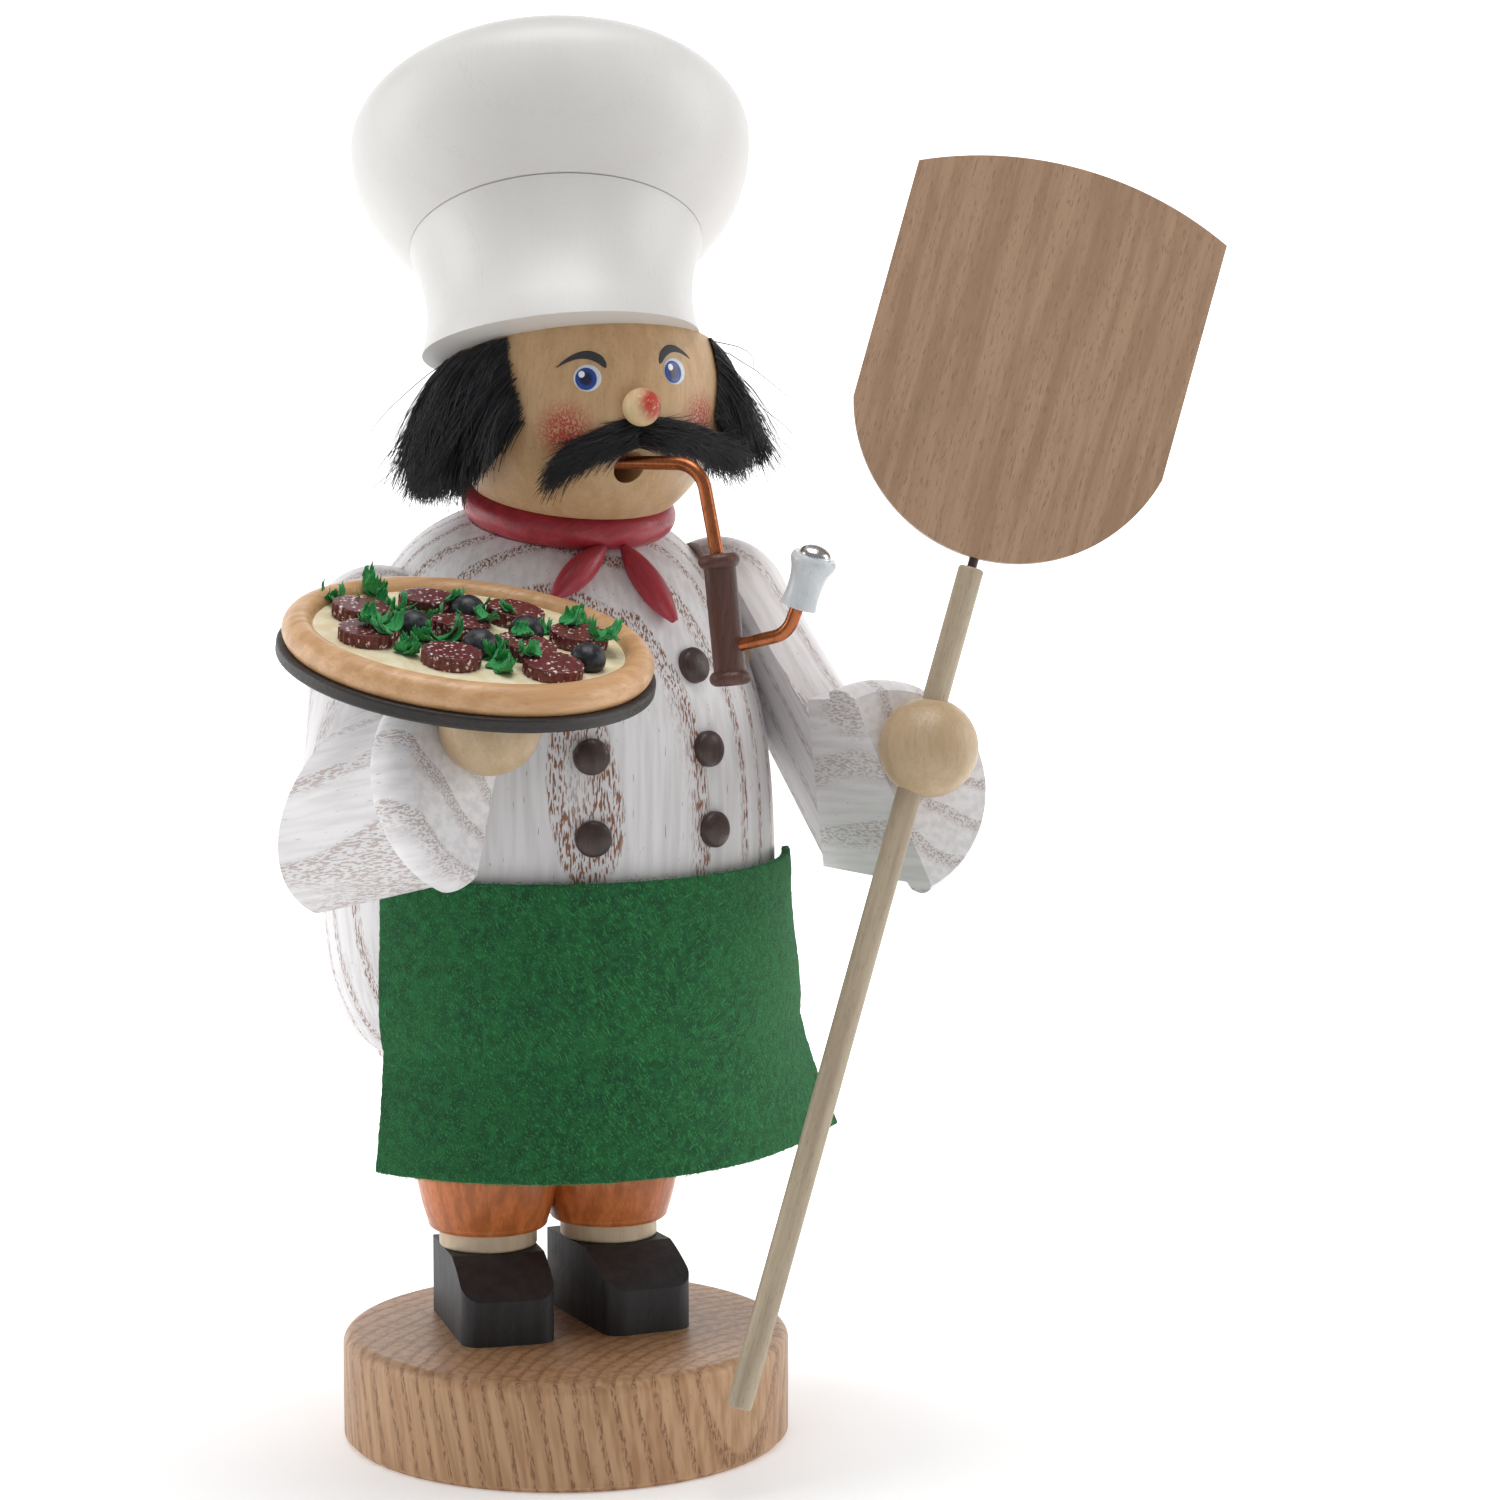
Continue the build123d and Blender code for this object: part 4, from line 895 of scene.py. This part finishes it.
def make_slice():
    """Slice of salami with a pinked rind: flutes pinched into the wall, edges rounded off."""
    obj = primitive(
        bpy.ops.mesh.primitive_cylinder_add, vertices=126, radius=SLICE_RADIUS, depth=SLICE_THICKNESS
    )
    with editing(obj):
        bpy.ops.mesh.select_all(action="DESELECT")
    for face in obj.data.polygons:
        face.select = len(face.vertices) > 4
    only(obj)
    bpy.ops.object.mode_set(mode="EDIT")
    bpy.ops.mesh.select_mode(type="FACE")
    for share in (0.05, 0.3, 0.3):
        bpy.ops.mesh.inset(thickness=SLICE_RADIUS * share)
    bpy.ops.mesh.poke()
    bpy.ops.object.mode_set(mode="OBJECT")
    for vertex in obj.data.vertices:
        radius = vertex.co.xy.length
        if radius > SLICE_RADIUS * 0.9:
            angle = Vector((1, 0)).angle_signed(vertex.co.xy)
            rough = 0.02 * noise.noise(vertex.co.to_2d().to_3d() * 300)
            pinch = 1 - 0.05 * (0.5 + 0.5 * cos(21 * angle)) + rough
            vertex.co.xy *= pinch
    apply(obj, "BEVEL", width=0.12 * MM, segments=2, limit_method="ANGLE", angle_limit=radians(50))
    apply(obj, "SUBSURF", levels=1)
    outward(obj)
    return obj


def make_leaf(rng, length):
    """Crinkled strip of green: ribbed along, torn at its ends and rolled over."""
    obj = grid("leaf", 12, 7)
    curl = rng.uniform(0.8, 2.4)
    width = rng.uniform(1.1, 1.9)
    offset = Vector((rng.uniform(0, 50), rng.uniform(0, 50), 0))

    def rule(x, y):
        tear = 0.8 + 0.3 * noise.noise(Vector((x * 0.5, y * 4.5, 0)) + offset)
        along = (x + 1) / 2 * length * tear
        turn = curl * along / length
        reach = length / curl
        waist = 0.55 + 0.45 * sin(min(1, 0.25 + (x + 1) / 2) * pi)
        rib = 0.16 * sin(y * 13 + offset.x) + 0.22 * noise.noise(Vector((x * 2.2, y * 2.2, 3)) + offset)
        return Vector((sin(turn) * reach, y * width * waist, (1 - cos(turn)) * reach + rib)) * MM

    lay_out(obj, rule)
    apply(obj, "SOLIDIFY", thickness=0.14 * MM, offset=0)
    outward(obj)
    return obj


# Looks of the nodes that are carried over: for each material its nodes

PEEL_AXIS = Vector((42.7, 0, 134.6)).normalized()
PALE_PEGS = ("leg_dowels", "hip_dowels", "arm_dowels", "hat_dowel", "tray_peg")
RED_STAIN = ("B23340", "7C212C")

# White glaze on ash: it leaves the late wood smooth and the open pores brown
GLAZE = {"base": "E9E7E8", "late": "DAD7D8", "pore": "8F5E41", "rough": 0.4, "coat": 0.2}

# Run of the grain along each arm
LIMB_AXES = {
    "upper_arm_right": (-0.3, -0.35, -0.9),
    "upper_arm_left": (0.35, -0.3, -0.9),
    "forearm_right": (0.3, -0.92, 0.2),
    "forearm_left": (-0.1, -0.98, 0.1),
}

# Close-grained woods: name, ground, dark, run of the grain, roughness, flecks, clouds, nodes
WOODS = (
    # Stained blocks, near black and dull, with grey flecks where the stain is thin
    ("black_stained_shoes", "26262A", "3A3A3E", (0.1, 0, 1), 0.62, 0.5, 0.6, ("shoe_right", "shoe_left")),
    # Bare lime, sanded and waxed
    ("pale_sock_wood", "DCC8AA", "C4AB87", (0, 0, 1), 0.5, 0.4, 0.4, ("sock_right", "sock_left")),
    ("beech_dowels", "D8BD93", "BF9E6E", (0, 0, 1), 0.5, 0.4, 0.4, PALE_PEGS),
    # Stain that soaks in unevenly, so the grain shows as darker clouds
    (
        "orange_stained_legs", "DE8146", "A85A26", (0.1, 0.1, 1), 0.33, 0.35, 0.75,
        ("leg_right", "leg_left", "seat_block"),
    ),
    ("dark_button_wood", "4A3731", "2E211D", (0, 0, 1), 0.4, 0.5, 0.6, ("buttons", "peel_pin")),
    ("red_stained_tip_right", *RED_STAIN, (-0.7, -0.2, -0.6), 0.38, 0.45, 0.55, ("scarf_tip_right",)),
    ("red_stained_tip_left", *RED_STAIN, (0.45, -0.3, -0.8), 0.38, 0.45, 0.55, ("scarf_tip_left",)),
    ("hand_ball_wood", "C3AA88", "A88B67", (0, 0.2, 1), 0.42, 0.35, 0.4, ("hand_right", "hand_left")),
    ("stained_tray_wood", "2A2321", "191513", (1, 0.2, 0), 0.5, 0.5, 0.5, ("tray",)),
    ("baked_crust_wood", "DDB184", "BC8C5C", (1, 0.1, 0), 0.38, 0.35, 0.6, ("pizza_crust",)),
    # Greyed maple, and walnut with strong flecks
    ("maple_peel_handle", "BDAE94", "978470", PEEL_AXIS, 0.5, 0.5, 0.5, ("peel_handle",)),
    ("walnut_peel_blade", "B8967A", "96765B", PEEL_AXIS, 0.5, 0.85, 0.6, ("peel_blade",)),
    # Lacquer: smoother than bare wood, the flecks dimmed under it
    ("turned_pipe_barrel", "603A30", "38221C", (0.1, 0, 1), 0.45, 0.7, 0.6, ("pipe_barrel",)),
    ("white_pipe_bowl", "D3D8DB", "BBC1C6", (0.2, 0, 1), 0.3, 0.2, 0.35, ("pipe_bowl",)),
)

# Metals: name, bright, tarnished, roughness, strength of the tarnish, nodes
METALS = (
    # Drawn wire: a warm shine with brown where fingers touched it
    ("drawn_copper_wire", "B06A45", "5E3220", 0.3, 0.6, ("pipe_stem", "pipe_arm_wire")),
    ("polished_steel_cap", "C9CBCD", "8C8F92", 0.2, 0.3, ("pipe_cap",)),
    # Pressed sheet: a yellow shine dulled by smoke
    ("pressed_brass_dish", "C9A45C", "86683A", 0.35, 0.5, ("burner_dish",)),
    ("zinc_nails", "A9ABAD", "77797B", 0.4, 0.5, ("burner_nails",)),
)


def dress(nodes, material):
    """Put a material on the slots of each node."""
    for name in nodes:
        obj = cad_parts[name]
        if not obj.material_slots:
            obj.data.materials.append(material)
        for slot in obj.material_slots:
            slot.material = material


# Settings


def shade_setting(name, description, code):
    """Colour that a user may change."""
    return FloatVectorProperty(
        name=name, description=description, default=colour(code), size=4, min=0, max=1, subtype="COLOR"
    )


class SmokerHatSettings(PropertyGroup):
    """Hat."""

    rim_round: FloatProperty(
        name="Rim", description="Rounding of the rim", default=1.4 * MM, min=0, unit="LENGTH"
    )
    stain: shade_setting("Stain", "White of the stained wood", "DCDAD7")


class SmokerFurSettings(PropertyGroup):
    """Hair and moustache."""

    side_hairs: IntProperty(
        name="Side hairs", description="Hairs over each ear", default=3800, min=10
    )
    back_hairs: IntProperty(
        name="Back hairs", description="Hairs round the back of the head", default=3800, min=10
    )
    moustache_hairs: IntProperty(
        name="Moustache hairs", description="Hairs in each half", default=1500, min=10
    )
    # Real fur is about half as thick; it is drawn coarser so that single hairs show
    hair_radius: FloatProperty(
        name="Hair radius", description="Half thickness at the root", default=0.085 * MM, unit="LENGTH"
    )
    ground: shade_setting("Fur", "Dark ground of the dyed fur", "101014")


class SmokerFeltSettings(PropertyGroup):
    """Apron."""

    fibres: IntProperty(
        name="Loose fibres", description="Fibres that stand off the felt", default=9000, min=10
    )
    relief: FloatProperty(
        name="Relief", description="Height of the felt's matted lumps", default=0.3 * MM, unit="LENGTH"
    )
    ground: shade_setting("Felt", "Dark ground of the felt", "0E4727")


class SmokerToppingSettings(PropertyGroup):
    """Pizza toppings."""

    slice_tilt: FloatProperty(
        name="Slice tilt", description="Largest lean of a slice", default=radians(5), unit="ROTATION"
    )
    ground: shade_setting("Cheese", "Cream of the cheese", "F3E9CB")


class SmokerStudioSettings(PropertyGroup):
    """Floor and lights."""

    key_power: FloatProperty(
        name="Key light", description="Power of the large light", default=2.1, unit="POWER"
    )
    fill_power: FloatProperty(
        name="Fill light", description="Power of the light opposite", default=2.3, unit="POWER"
    )
    top_power: FloatProperty(
        name="Top light", description="Power of the light overhead", default=4.6, unit="POWER"
    )
    surround: FloatProperty(
        name="Surround", description="Brightness of the white room", default=0.31, min=0
    )
    paper_glow: FloatProperty(
        name="Paper glow", description="Light through the sweep at the figure", default=0.2, min=0
    )


# Operators


class SMOKER_OT_woods(Operator):
    """Finish every wooden node"""

    bl_idname = "smoker.woods"
    bl_label = "Wood finishes"

    def execute(self, context):
        jacket = ring_porous(
            "glazed_ash_jacket", axis=(0.06, 0.1, 1), pith=(26, 78, 90),
            spacing=5.2, waviness=7.0, pore_strength=1.0, **GLAZE,
        )
        dress(("jacket",), jacket)
        for node, axis in LIMB_AXES.items():
            low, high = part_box(node)
            pith = (low + high) / 2 / MM + Vector((18, 34, 16))
            arm = ring_porous(
                "glazed_ash_" + node, axis=axis, pith=pith,
                spacing=6.5, waviness=6.0, pore_strength=0.5, **GLAZE,
            )
            dress((node,), arm)
        base = ring_porous(
            "turned_ash_base", "C69D76", "AC8058", "7B5130", axis=(-0.1, 0.16, 1), pith=(40, -74, 0),
            spacing=3.0, waviness=3.0, pore_strength=0.7, rough=0.45,
        )
        dress(("base_disc",), base)
        for *finish, nodes in WOODS:
            dress(nodes, close_grained(*finish)[0])
        dress(("nose",), nose_wood())
        return {"FINISHED"}


class SMOKER_OT_metals(Operator):
    """Finish every metal node"""

    bl_idname = "smoker.metals"
    bl_label = "Metal finishes"

    def execute(self, context):
        for *finish, nodes in METALS:
            dress(nodes, metal(*finish))
        return {"FINISHED"}


class SMOKER_OT_head(Operator):
    """Turned head sawn at neck and hat, with its mouth, tenon and the rolled scarf under it"""

    bl_idname = "smoker.head"
    bl_label = "Head and scarf"

    def execute(self, context):
        arc = [-pi / 2 + pi * k / 72 for k in range(73)]
        head = turned("turned_head", [(max(0, HEAD_RADIUS * cos(a)), HEAD_RADIUS * sin(a)) for a in arc])
        head.data.transform(Matrix.Translation(HEAD))
        slant = Vector((0, -sin(NECK_TILT), cos(NECK_TILT)))
        seat = NECK + slant * ROLL_HALF
        saw(head, seat, -slant)
        saw(head, RIM, RIM_NORMAL)
        combine(head, rod(seat + slant * MM, -slant, TENON_RADIUS, TENON_LENGTH + MM), "UNION")
        bore = rod(MOUTH - Vector((0, BORE_START, 0)), Vector((0, 1, 0)), MOUTH_RADIUS, BORE_LENGTH)
        combine(head, bore, "DIFFERENCE")
        soften(head, 0.25 * MM)
        settle(head, face_wood())
        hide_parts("head")
        inner = TENON_RADIUS + 0.1 * MM
        flat = ROLL_RADIUS - ROLL_HALF
        bend = [-pi / 2 + pi * k / 24 for k in range(25)]
        section = [(flat + ROLL_HALF * cos(a), ROLL_HALF * sin(a)) for a in bend]
        bottom, top = (inner, -ROLL_HALF), (inner, ROLL_HALF)
        roll = turned("rolled_scarf", [bottom, *section, top, bottom], 128)
        soften(roll, 0.15 * MM, 40)
        roll.data.transform(standing(NECK, slant))
        red = close_grained("red_stained_scarf", *RED_STAIN, (1, 0.2, 0.3), 0.38, 0.45, 0.55)[0]
        settle(roll, red)
        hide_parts("scarf_ring")
        return {"FINISHED"}


class SMOKER_OT_hat(Operator):
    """Chef's hat: a puff over a flared band, sawn at a slant and rounded at the rim"""

    bl_idname = "smoker.hat"
    bl_label = "Hat"

    def execute(self, context):
        settings = context.scene.smoker_hat
        crease = (PUFF_RADIUS * cos(CREASE_ANGLE), -PUFF_DROP * sin(CREASE_ANGLE))
        stops = (crease, BAND_WAIST, BAND_LOW)

        def band(height):
            """Radius of the band: a parabola through its three stops that eases into a straight foot."""
            start = BAND_LOW[1] + BAND_EASE
            if height < start:
                growth = (band(start) - band(start + 0.1)) / 0.1
                return band(start) + growth * BAND_EASE * (1 - exp((height - start) / BAND_EASE))
            total = 0
            for k, (radius, level) in enumerate(stops):
                others = [stop[1] for m, stop in enumerate(stops) if m != k]
                share = (height - others[0]) * (height - others[1])
                total += radius * share / ((level - others[0]) * (level - others[1]))
            return total

        rise = crease[1] - BAND_FOOT
        band_part = [BAND_FOOT + rise * k / BAND_STEPS for k in range(BAND_STEPS)]
        below, above = PUFF_STEPS
        lower = [-CREASE_ANGLE * (1 - k / below) for k in range(below)]
        upper = [pi / 2 * k / above for k in range(above + 1)]
        profile = [(0, BAND_FOOT)]
        profile += [(band(level), level) for level in band_part]
        profile += [(crease[0] + inward, crease[1] + down) for inward, down in GROOVE]
        profile += [(PUFF_RADIUS * cos(a), PUFF_DROP * sin(a)) for a in lower]
        profile += [(max(0, PUFF_RADIUS * cos(a)), PUFF_RISE * sin(a)) for a in upper]
        hat = turned("chef_hat", [(radius * MM, height * MM) for radius, height in profile])
        upright = cos(HAT_LEAN)
        axis = Vector((upright * sin(HAT_SIDE_LEAN), sin(HAT_LEAN), upright * cos(HAT_SIDE_LEAN)))
        hat.data.transform(standing(PUFF, axis))
        saw(hat, RIM, -RIM_NORMAL)
        soften(hat, settings.rim_round, 60, 16)
        settle(hat, hat_paint(tuple(settings.stain)))
        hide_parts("hat")
        return {"FINISHED"}


class SMOKER_OT_face(Operator):
    """Paint eyes and eyebrows on the head"""

    bl_idname = "smoker.face"
    bl_label = "Painted face"

    def execute(self, context):
        white = paint("eye_white_paint", "DADFE4", "C3CAD2", 0.35)
        blue = iris()
        glint = paint("eye_glint_paint", "F6F8FA", "E2E8EE", 0.3)
        dark = paint("eyebrow_paint", "37373B", "252528", 0.5)
        for name, stops in zip(("right", "left"), EYES):
            places = [seen_on_head(*stop) for stop in stops]
            painted_spot("eye_white_" + name, *places[0], 2.25 * MM, 2.2 * MM, 0.05 * MM, white)
            painted_spot("iris_" + name, *places[1], 1.75 * MM, 1.8 * MM, 0.12 * MM, blue)
            painted_spot("eye_glint_" + name, *places[2], 0.5 * MM, 0.55 * MM, 0.2 * MM, glint)
        for name, stops in BROWS:
            brow(name, [seen_on_head(*stop) for stop in stops], 1.9 * MM, dark)
        return {"FINISHED"}


class SMOKER_OT_hair(Operator):
    """Fur round the head: a pelt on the ball and hairs hanging from it"""

    bl_idname = "smoker.hair"
    bl_label = "Hair"

    def execute(self, context):
        settings = context.scene.smoker_fur
        noise.seed_set(CLUMP_SEED)
        black = fur(tuple(settings.ground))
        pelt = grid("hair_pelt", 72, 10)

        def rule(x, y):
            elevation = 5 + y * 24
            front = hair_front(elevation) + 1.5
            turn = 180 + x * (180 - front)
            point = on_head(FACE_TURN + turn, elevation, 0.45 * MM)
            over = over_rim(point) + 0.4 * MM
            return point - RIM_NORMAL * over if over > 0 else point

        lay_out(pelt, rule)
        apply(pelt, "SOLIDIFY", thickness=0.35 * MM, offset=0)
        outward(pelt)
        settle(pelt, black)
        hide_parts("hair")
        parts = (
            ("hair_right", settings.side_hairs, -105, -HAIR_EDGE, 11),
            ("hair_left", settings.side_hairs, HAIR_EDGE, 105, 12),
            ("hair_back", settings.back_hairs, 105, 255, 13),
        )
        for name, count, start, end, seed in parts:
            tuft = strands(name, hair_paths(count, start, end, seed), settings.hair_radius, 0.55)
            settle(tuft, black)
        return {"FINISHED"}


class SMOKER_OT_moustache(Operator):
    """Two drooping tufts under the nose"""

    bl_idname = "smoker.moustache"
    bl_label = "Moustache"

    def execute(self, context):
        settings = context.scene.smoker_fur
        halves = (
            ("moustache_right", ((644, 431), (596, 444), (550, 467)), (0.5, 1.0, 2.0), 21),
            ("moustache_left", ((633, 431), (685, 437), (709, 448)), (0.5, 1.4, 4.5), 22),
        )
        black = bpy.data.materials["black_dyed_fur"]
        for name, pixels, lifts, seed in halves:
            stops = [(*seen_on_head(*pixel), lift) for pixel, lift in zip(pixels, lifts)]
            paths = moustache_paths(stops, settings.moustache_hairs, seed)
            tuft = strands(name, paths, settings.hair_radius * 0.85, 0.6)
            settle(tuft, black)
            if name == "moustache_right":
                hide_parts("moustache")
        return {"FINISHED"}


class SMOKER_OT_apron(Operator):
    """Felt apron with matted relief and loose fibres"""

    bl_idname = "smoker.apron"
    bl_label = "Felt apron"

    def execute(self, context):
        settings = context.scene.smoker_felt
        apron = grid("felt_apron", 90, 46)
        lay_out(apron, apron_point)
        apply(apron, "SOLIDIFY", thickness=APRON_THICKNESS, offset=1)
        outward(apron)
        apply(apron, "BEVEL", width=0.25 * MM, segments=2, limit_method="ANGLE", angle_limit=radians(50))
        apply(apron, "SUBSURF", levels=1)
        lumps = bpy.data.textures.new("felt_lumps", "CLOUDS")
        lumps.noise_scale = 1.1 * MM
        apply(apron, "DISPLACE", texture=lumps, strength=settings.relief, mid_level=0.6)
        outward(apron)
        settle(apron, felt(tuple(settings.ground)))
        rng = random.Random(31)
        paths = [felt_fibre(rng) for _ in range(settings.fibres)]
        # Real wool is about half as thick; it is drawn coarser so that single fibres show
        fluff = strands("apron_fibres", paths, 0.035 * MM, 0.3)
        settle(fluff, fibre_green("loose_wool_fibre", "227A3C", "57AE66"))
        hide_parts("apron")
        return {"FINISHED"}


class SMOKER_OT_pizza(Operator):
    """Salami slices and green sprigs on the cheese"""

    bl_idname = "smoker.pizza"
    bl_label = "Pizza toppings"

    def execute(self, context):
        settings = context.scene.smoker_topping
        top = cheese_frame()
        rng = random.Random(41)
        dress(("cheese_layer",), cheese(tuple(settings.ground)))
        skin = olive()
        for number, (x, y) in enumerate(OLIVE_SHARES):
            start = -asin(1 - OLIVE_SINK / OLIVE_RADIUS)
            arc = [start + (pi / 2 - start) * k / 20 for k in range(21)]
            round_part = [(OLIVE_RADIUS * cos(a), OLIVE_RADIUS * sin(a) * 0.94) for a in arc[:-1]]
            foot = round_part[0][1]
            profile = [(0, foot), *round_part, (0, OLIVE_RADIUS * 0.9)]
            piece = turned(f"olive_{number + 1}", profile, 48)
            soften(piece, 0.1 * MM, 40)
            centre = Vector((x * CHEESE_RADIUS, y * CHEESE_RADIUS, -foot))
            piece.data.transform(top @ Matrix.Translation(centre))
            settle(piece, skin)
            if number == 0:
                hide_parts("olives")
        dough = salami()
        master = make_slice()
        for number, (x, y) in enumerate(SLICE_SHARES):
            lean = rng.uniform(0, settings.slice_tilt)
            tilt = Matrix.Rotation(lean, 4, (rng.gauss(0, 1), rng.gauss(0, 1), 0))
            spin = Matrix.Rotation(rng.uniform(0, 2 * pi), 4, "Z")
            centre = Vector((x * CHEESE_RADIUS, y * CHEESE_RADIUS, SLICE_THICKNESS / 2))
            place = top @ Matrix.Translation(centre) @ tilt @ spin
            piece = placed_copy(master, place, f"salami_slice_{number + 1}")
            settle(piece, dough)
            if number == 0:
                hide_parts("salami_slices")
        bpy.data.objects.remove(master)
        leaves = []
        for column, row, length, count, height in SPRIGS:
            place = seen_on_cheese(column, row)
            gaps = [(place.xy - Vector(share) * CHEESE_RADIUS).length for share in SLICE_SHARES]
            raised = min(gaps) < SLICE_RADIUS
            for _ in range(count + 1):
                leaf = make_leaf(rng, length * rng.uniform(0.8, 1.15))
                spot = place + Vector((rng.gauss(0, 0.5) * MM, rng.gauss(0, 0.5) * MM, 0.25 * MM))
                spot.z += SLICE_THICKNESS if raised else 0
                pitch = Matrix.Rotation(-rng.uniform(0, 0.16) * height, 4, "Y")
                spin = Matrix.Rotation(rng.uniform(0, 2 * pi), 4, "Z")
                leaf.data.transform(top @ Matrix.Translation(spot) @ spin @ pitch)
                leaves.append(leaf)
        sprigs = join(leaves, "parsley_sprigs")
        settle(sprigs, fibre_green("crinkled_green_leaf", "0A8038", "25A651"))
        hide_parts("parsley")
        return {"FINISHED"}


class SMOKER_OT_stage(Operator):
    """Pale floor, soft lights and the photograph's camera"""

    bl_idname = "smoker.stage"
    bl_label = "Studio"

    def execute(self, context):
        settings = context.scene.smoker_studio
        floor = grid("studio_sweep", 8, 48)

        def rule(x, y):
            """Level floor that bends up into a wall behind the figure."""
            ahead = (y + 1) / 2 * 6 - 2
            bend = min(max(ahead - SWEEP_BEND, 0), SWEEP_BEND * pi / 2)
            wall = max(ahead - SWEEP_BEND - SWEEP_BEND * pi / 2, 0)
            rise = SWEEP_BEND * (1 - cos(bend / SWEEP_BEND)) + wall
            forth = min(ahead, SWEEP_BEND) + SWEEP_BEND * sin(bend / SWEEP_BEND)
            return SIDE * x * 4 + Vector((LOOK.x, LOOK.y, 0)).normalized() * forth + Vector((0, 0, rise))

        lay_out(floor, rule)
        with editing(floor):
            bpy.ops.mesh.faces_shade_smooth()
        floor.data.materials.append(sweep_paper(settings.paper_glow))
        toward = -LOOK.normalized()
        lights = (
            ("key_light", SIDE * 0.85 + toward * -0.06 + Vector((0, 0, 0.42)), 0.5, settings.key_power),
            ("fill_light", SIDE * -0.85 + toward * -0.06 + Vector((0, 0, 0.36)), 0.5, settings.fill_power),
            ("top_light", toward * 0.12 + Vector((0, 0, 0.95)), 0.6, settings.top_power),
        )
        for name, place, size, power in lights:
            data = bpy.data.lights.new(name, "AREA")
            data.size = size
            data.energy = power
            light = new_object(name, data)
            light.location = place
            light.rotation_euler = (LIT_PLACE - light.location).to_track_quat("-Z", "Y").to_euler()
        world = bpy.data.worlds.new("white_room")
        world.use_nodes = True
        background = world.node_tree.nodes["Background"]
        background.inputs["Color"].default_value = colour("FBFBFC")
        background.inputs["Strength"].default_value = settings.surround
        context.scene.world = world
        context.scene.view_settings.view_transform = "Standard"
        data = bpy.data.cameras.new("photo_camera")
        data.sensor_width = SENSOR
        data.lens = SENSOR * FOCAL_PIXELS / PICTURE_PIXELS
        camera = new_object("photo_camera", data)
        camera.location = CAMERA_PLACE
        camera.rotation_euler = Matrix((SIDE, RISE, -LOOK)).transposed().to_euler()
        context.scene.camera = camera
        return {"FINISHED"}


class SMOKER_PT_panel(Panel):
    """Settings and steps of the smoker"""

    bl_idname = "SMOKER_PT_panel"
    bl_label = "Incense smoker"
    bl_space_type = "VIEW_3D"
    bl_region_type = "UI"
    bl_category = "Smoker"

    def draw(self, context):
        for settings in SETTINGS:
            group = getattr(context.scene, settings)
            box = self.layout.box()
            for name in group.__annotations__:
                box.prop(group, name)
        for operator in OPERATORS:
            self.layout.operator(operator.bl_idname)


SETTINGS = {
    "smoker_hat": SmokerHatSettings,
    "smoker_fur": SmokerFurSettings,
    "smoker_felt": SmokerFeltSettings,
    "smoker_topping": SmokerToppingSettings,
    "smoker_studio": SmokerStudioSettings,
}

OPERATORS = (
    SMOKER_OT_woods,
    SMOKER_OT_metals,
    SMOKER_OT_head,
    SMOKER_OT_hat,
    SMOKER_OT_face,
    SMOKER_OT_hair,
    SMOKER_OT_moustache,
    SMOKER_OT_apron,
    SMOKER_OT_pizza,
    SMOKER_OT_stage,
)


def register():
    for item in (*SETTINGS.values(), *OPERATORS, SMOKER_PT_panel):
        bpy.utils.register_class(item)
    for name, settings in SETTINGS.items():
        setattr(bpy.types.Scene, name, PointerProperty(type=settings))


def unregister():
    for name in SETTINGS:
        delattr(bpy.types.Scene, name)
    for item in reversed((*SETTINGS.values(), *OPERATORS, SMOKER_PT_panel)):
        bpy.utils.unregister_class(item)


def main():
    """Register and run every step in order."""
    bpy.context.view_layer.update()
    register()
    for operator in OPERATORS:
        group, name = operator.bl_idname.split(".")
        getattr(getattr(bpy.ops, group), name)()


if __name__ == "__main__":
    main()
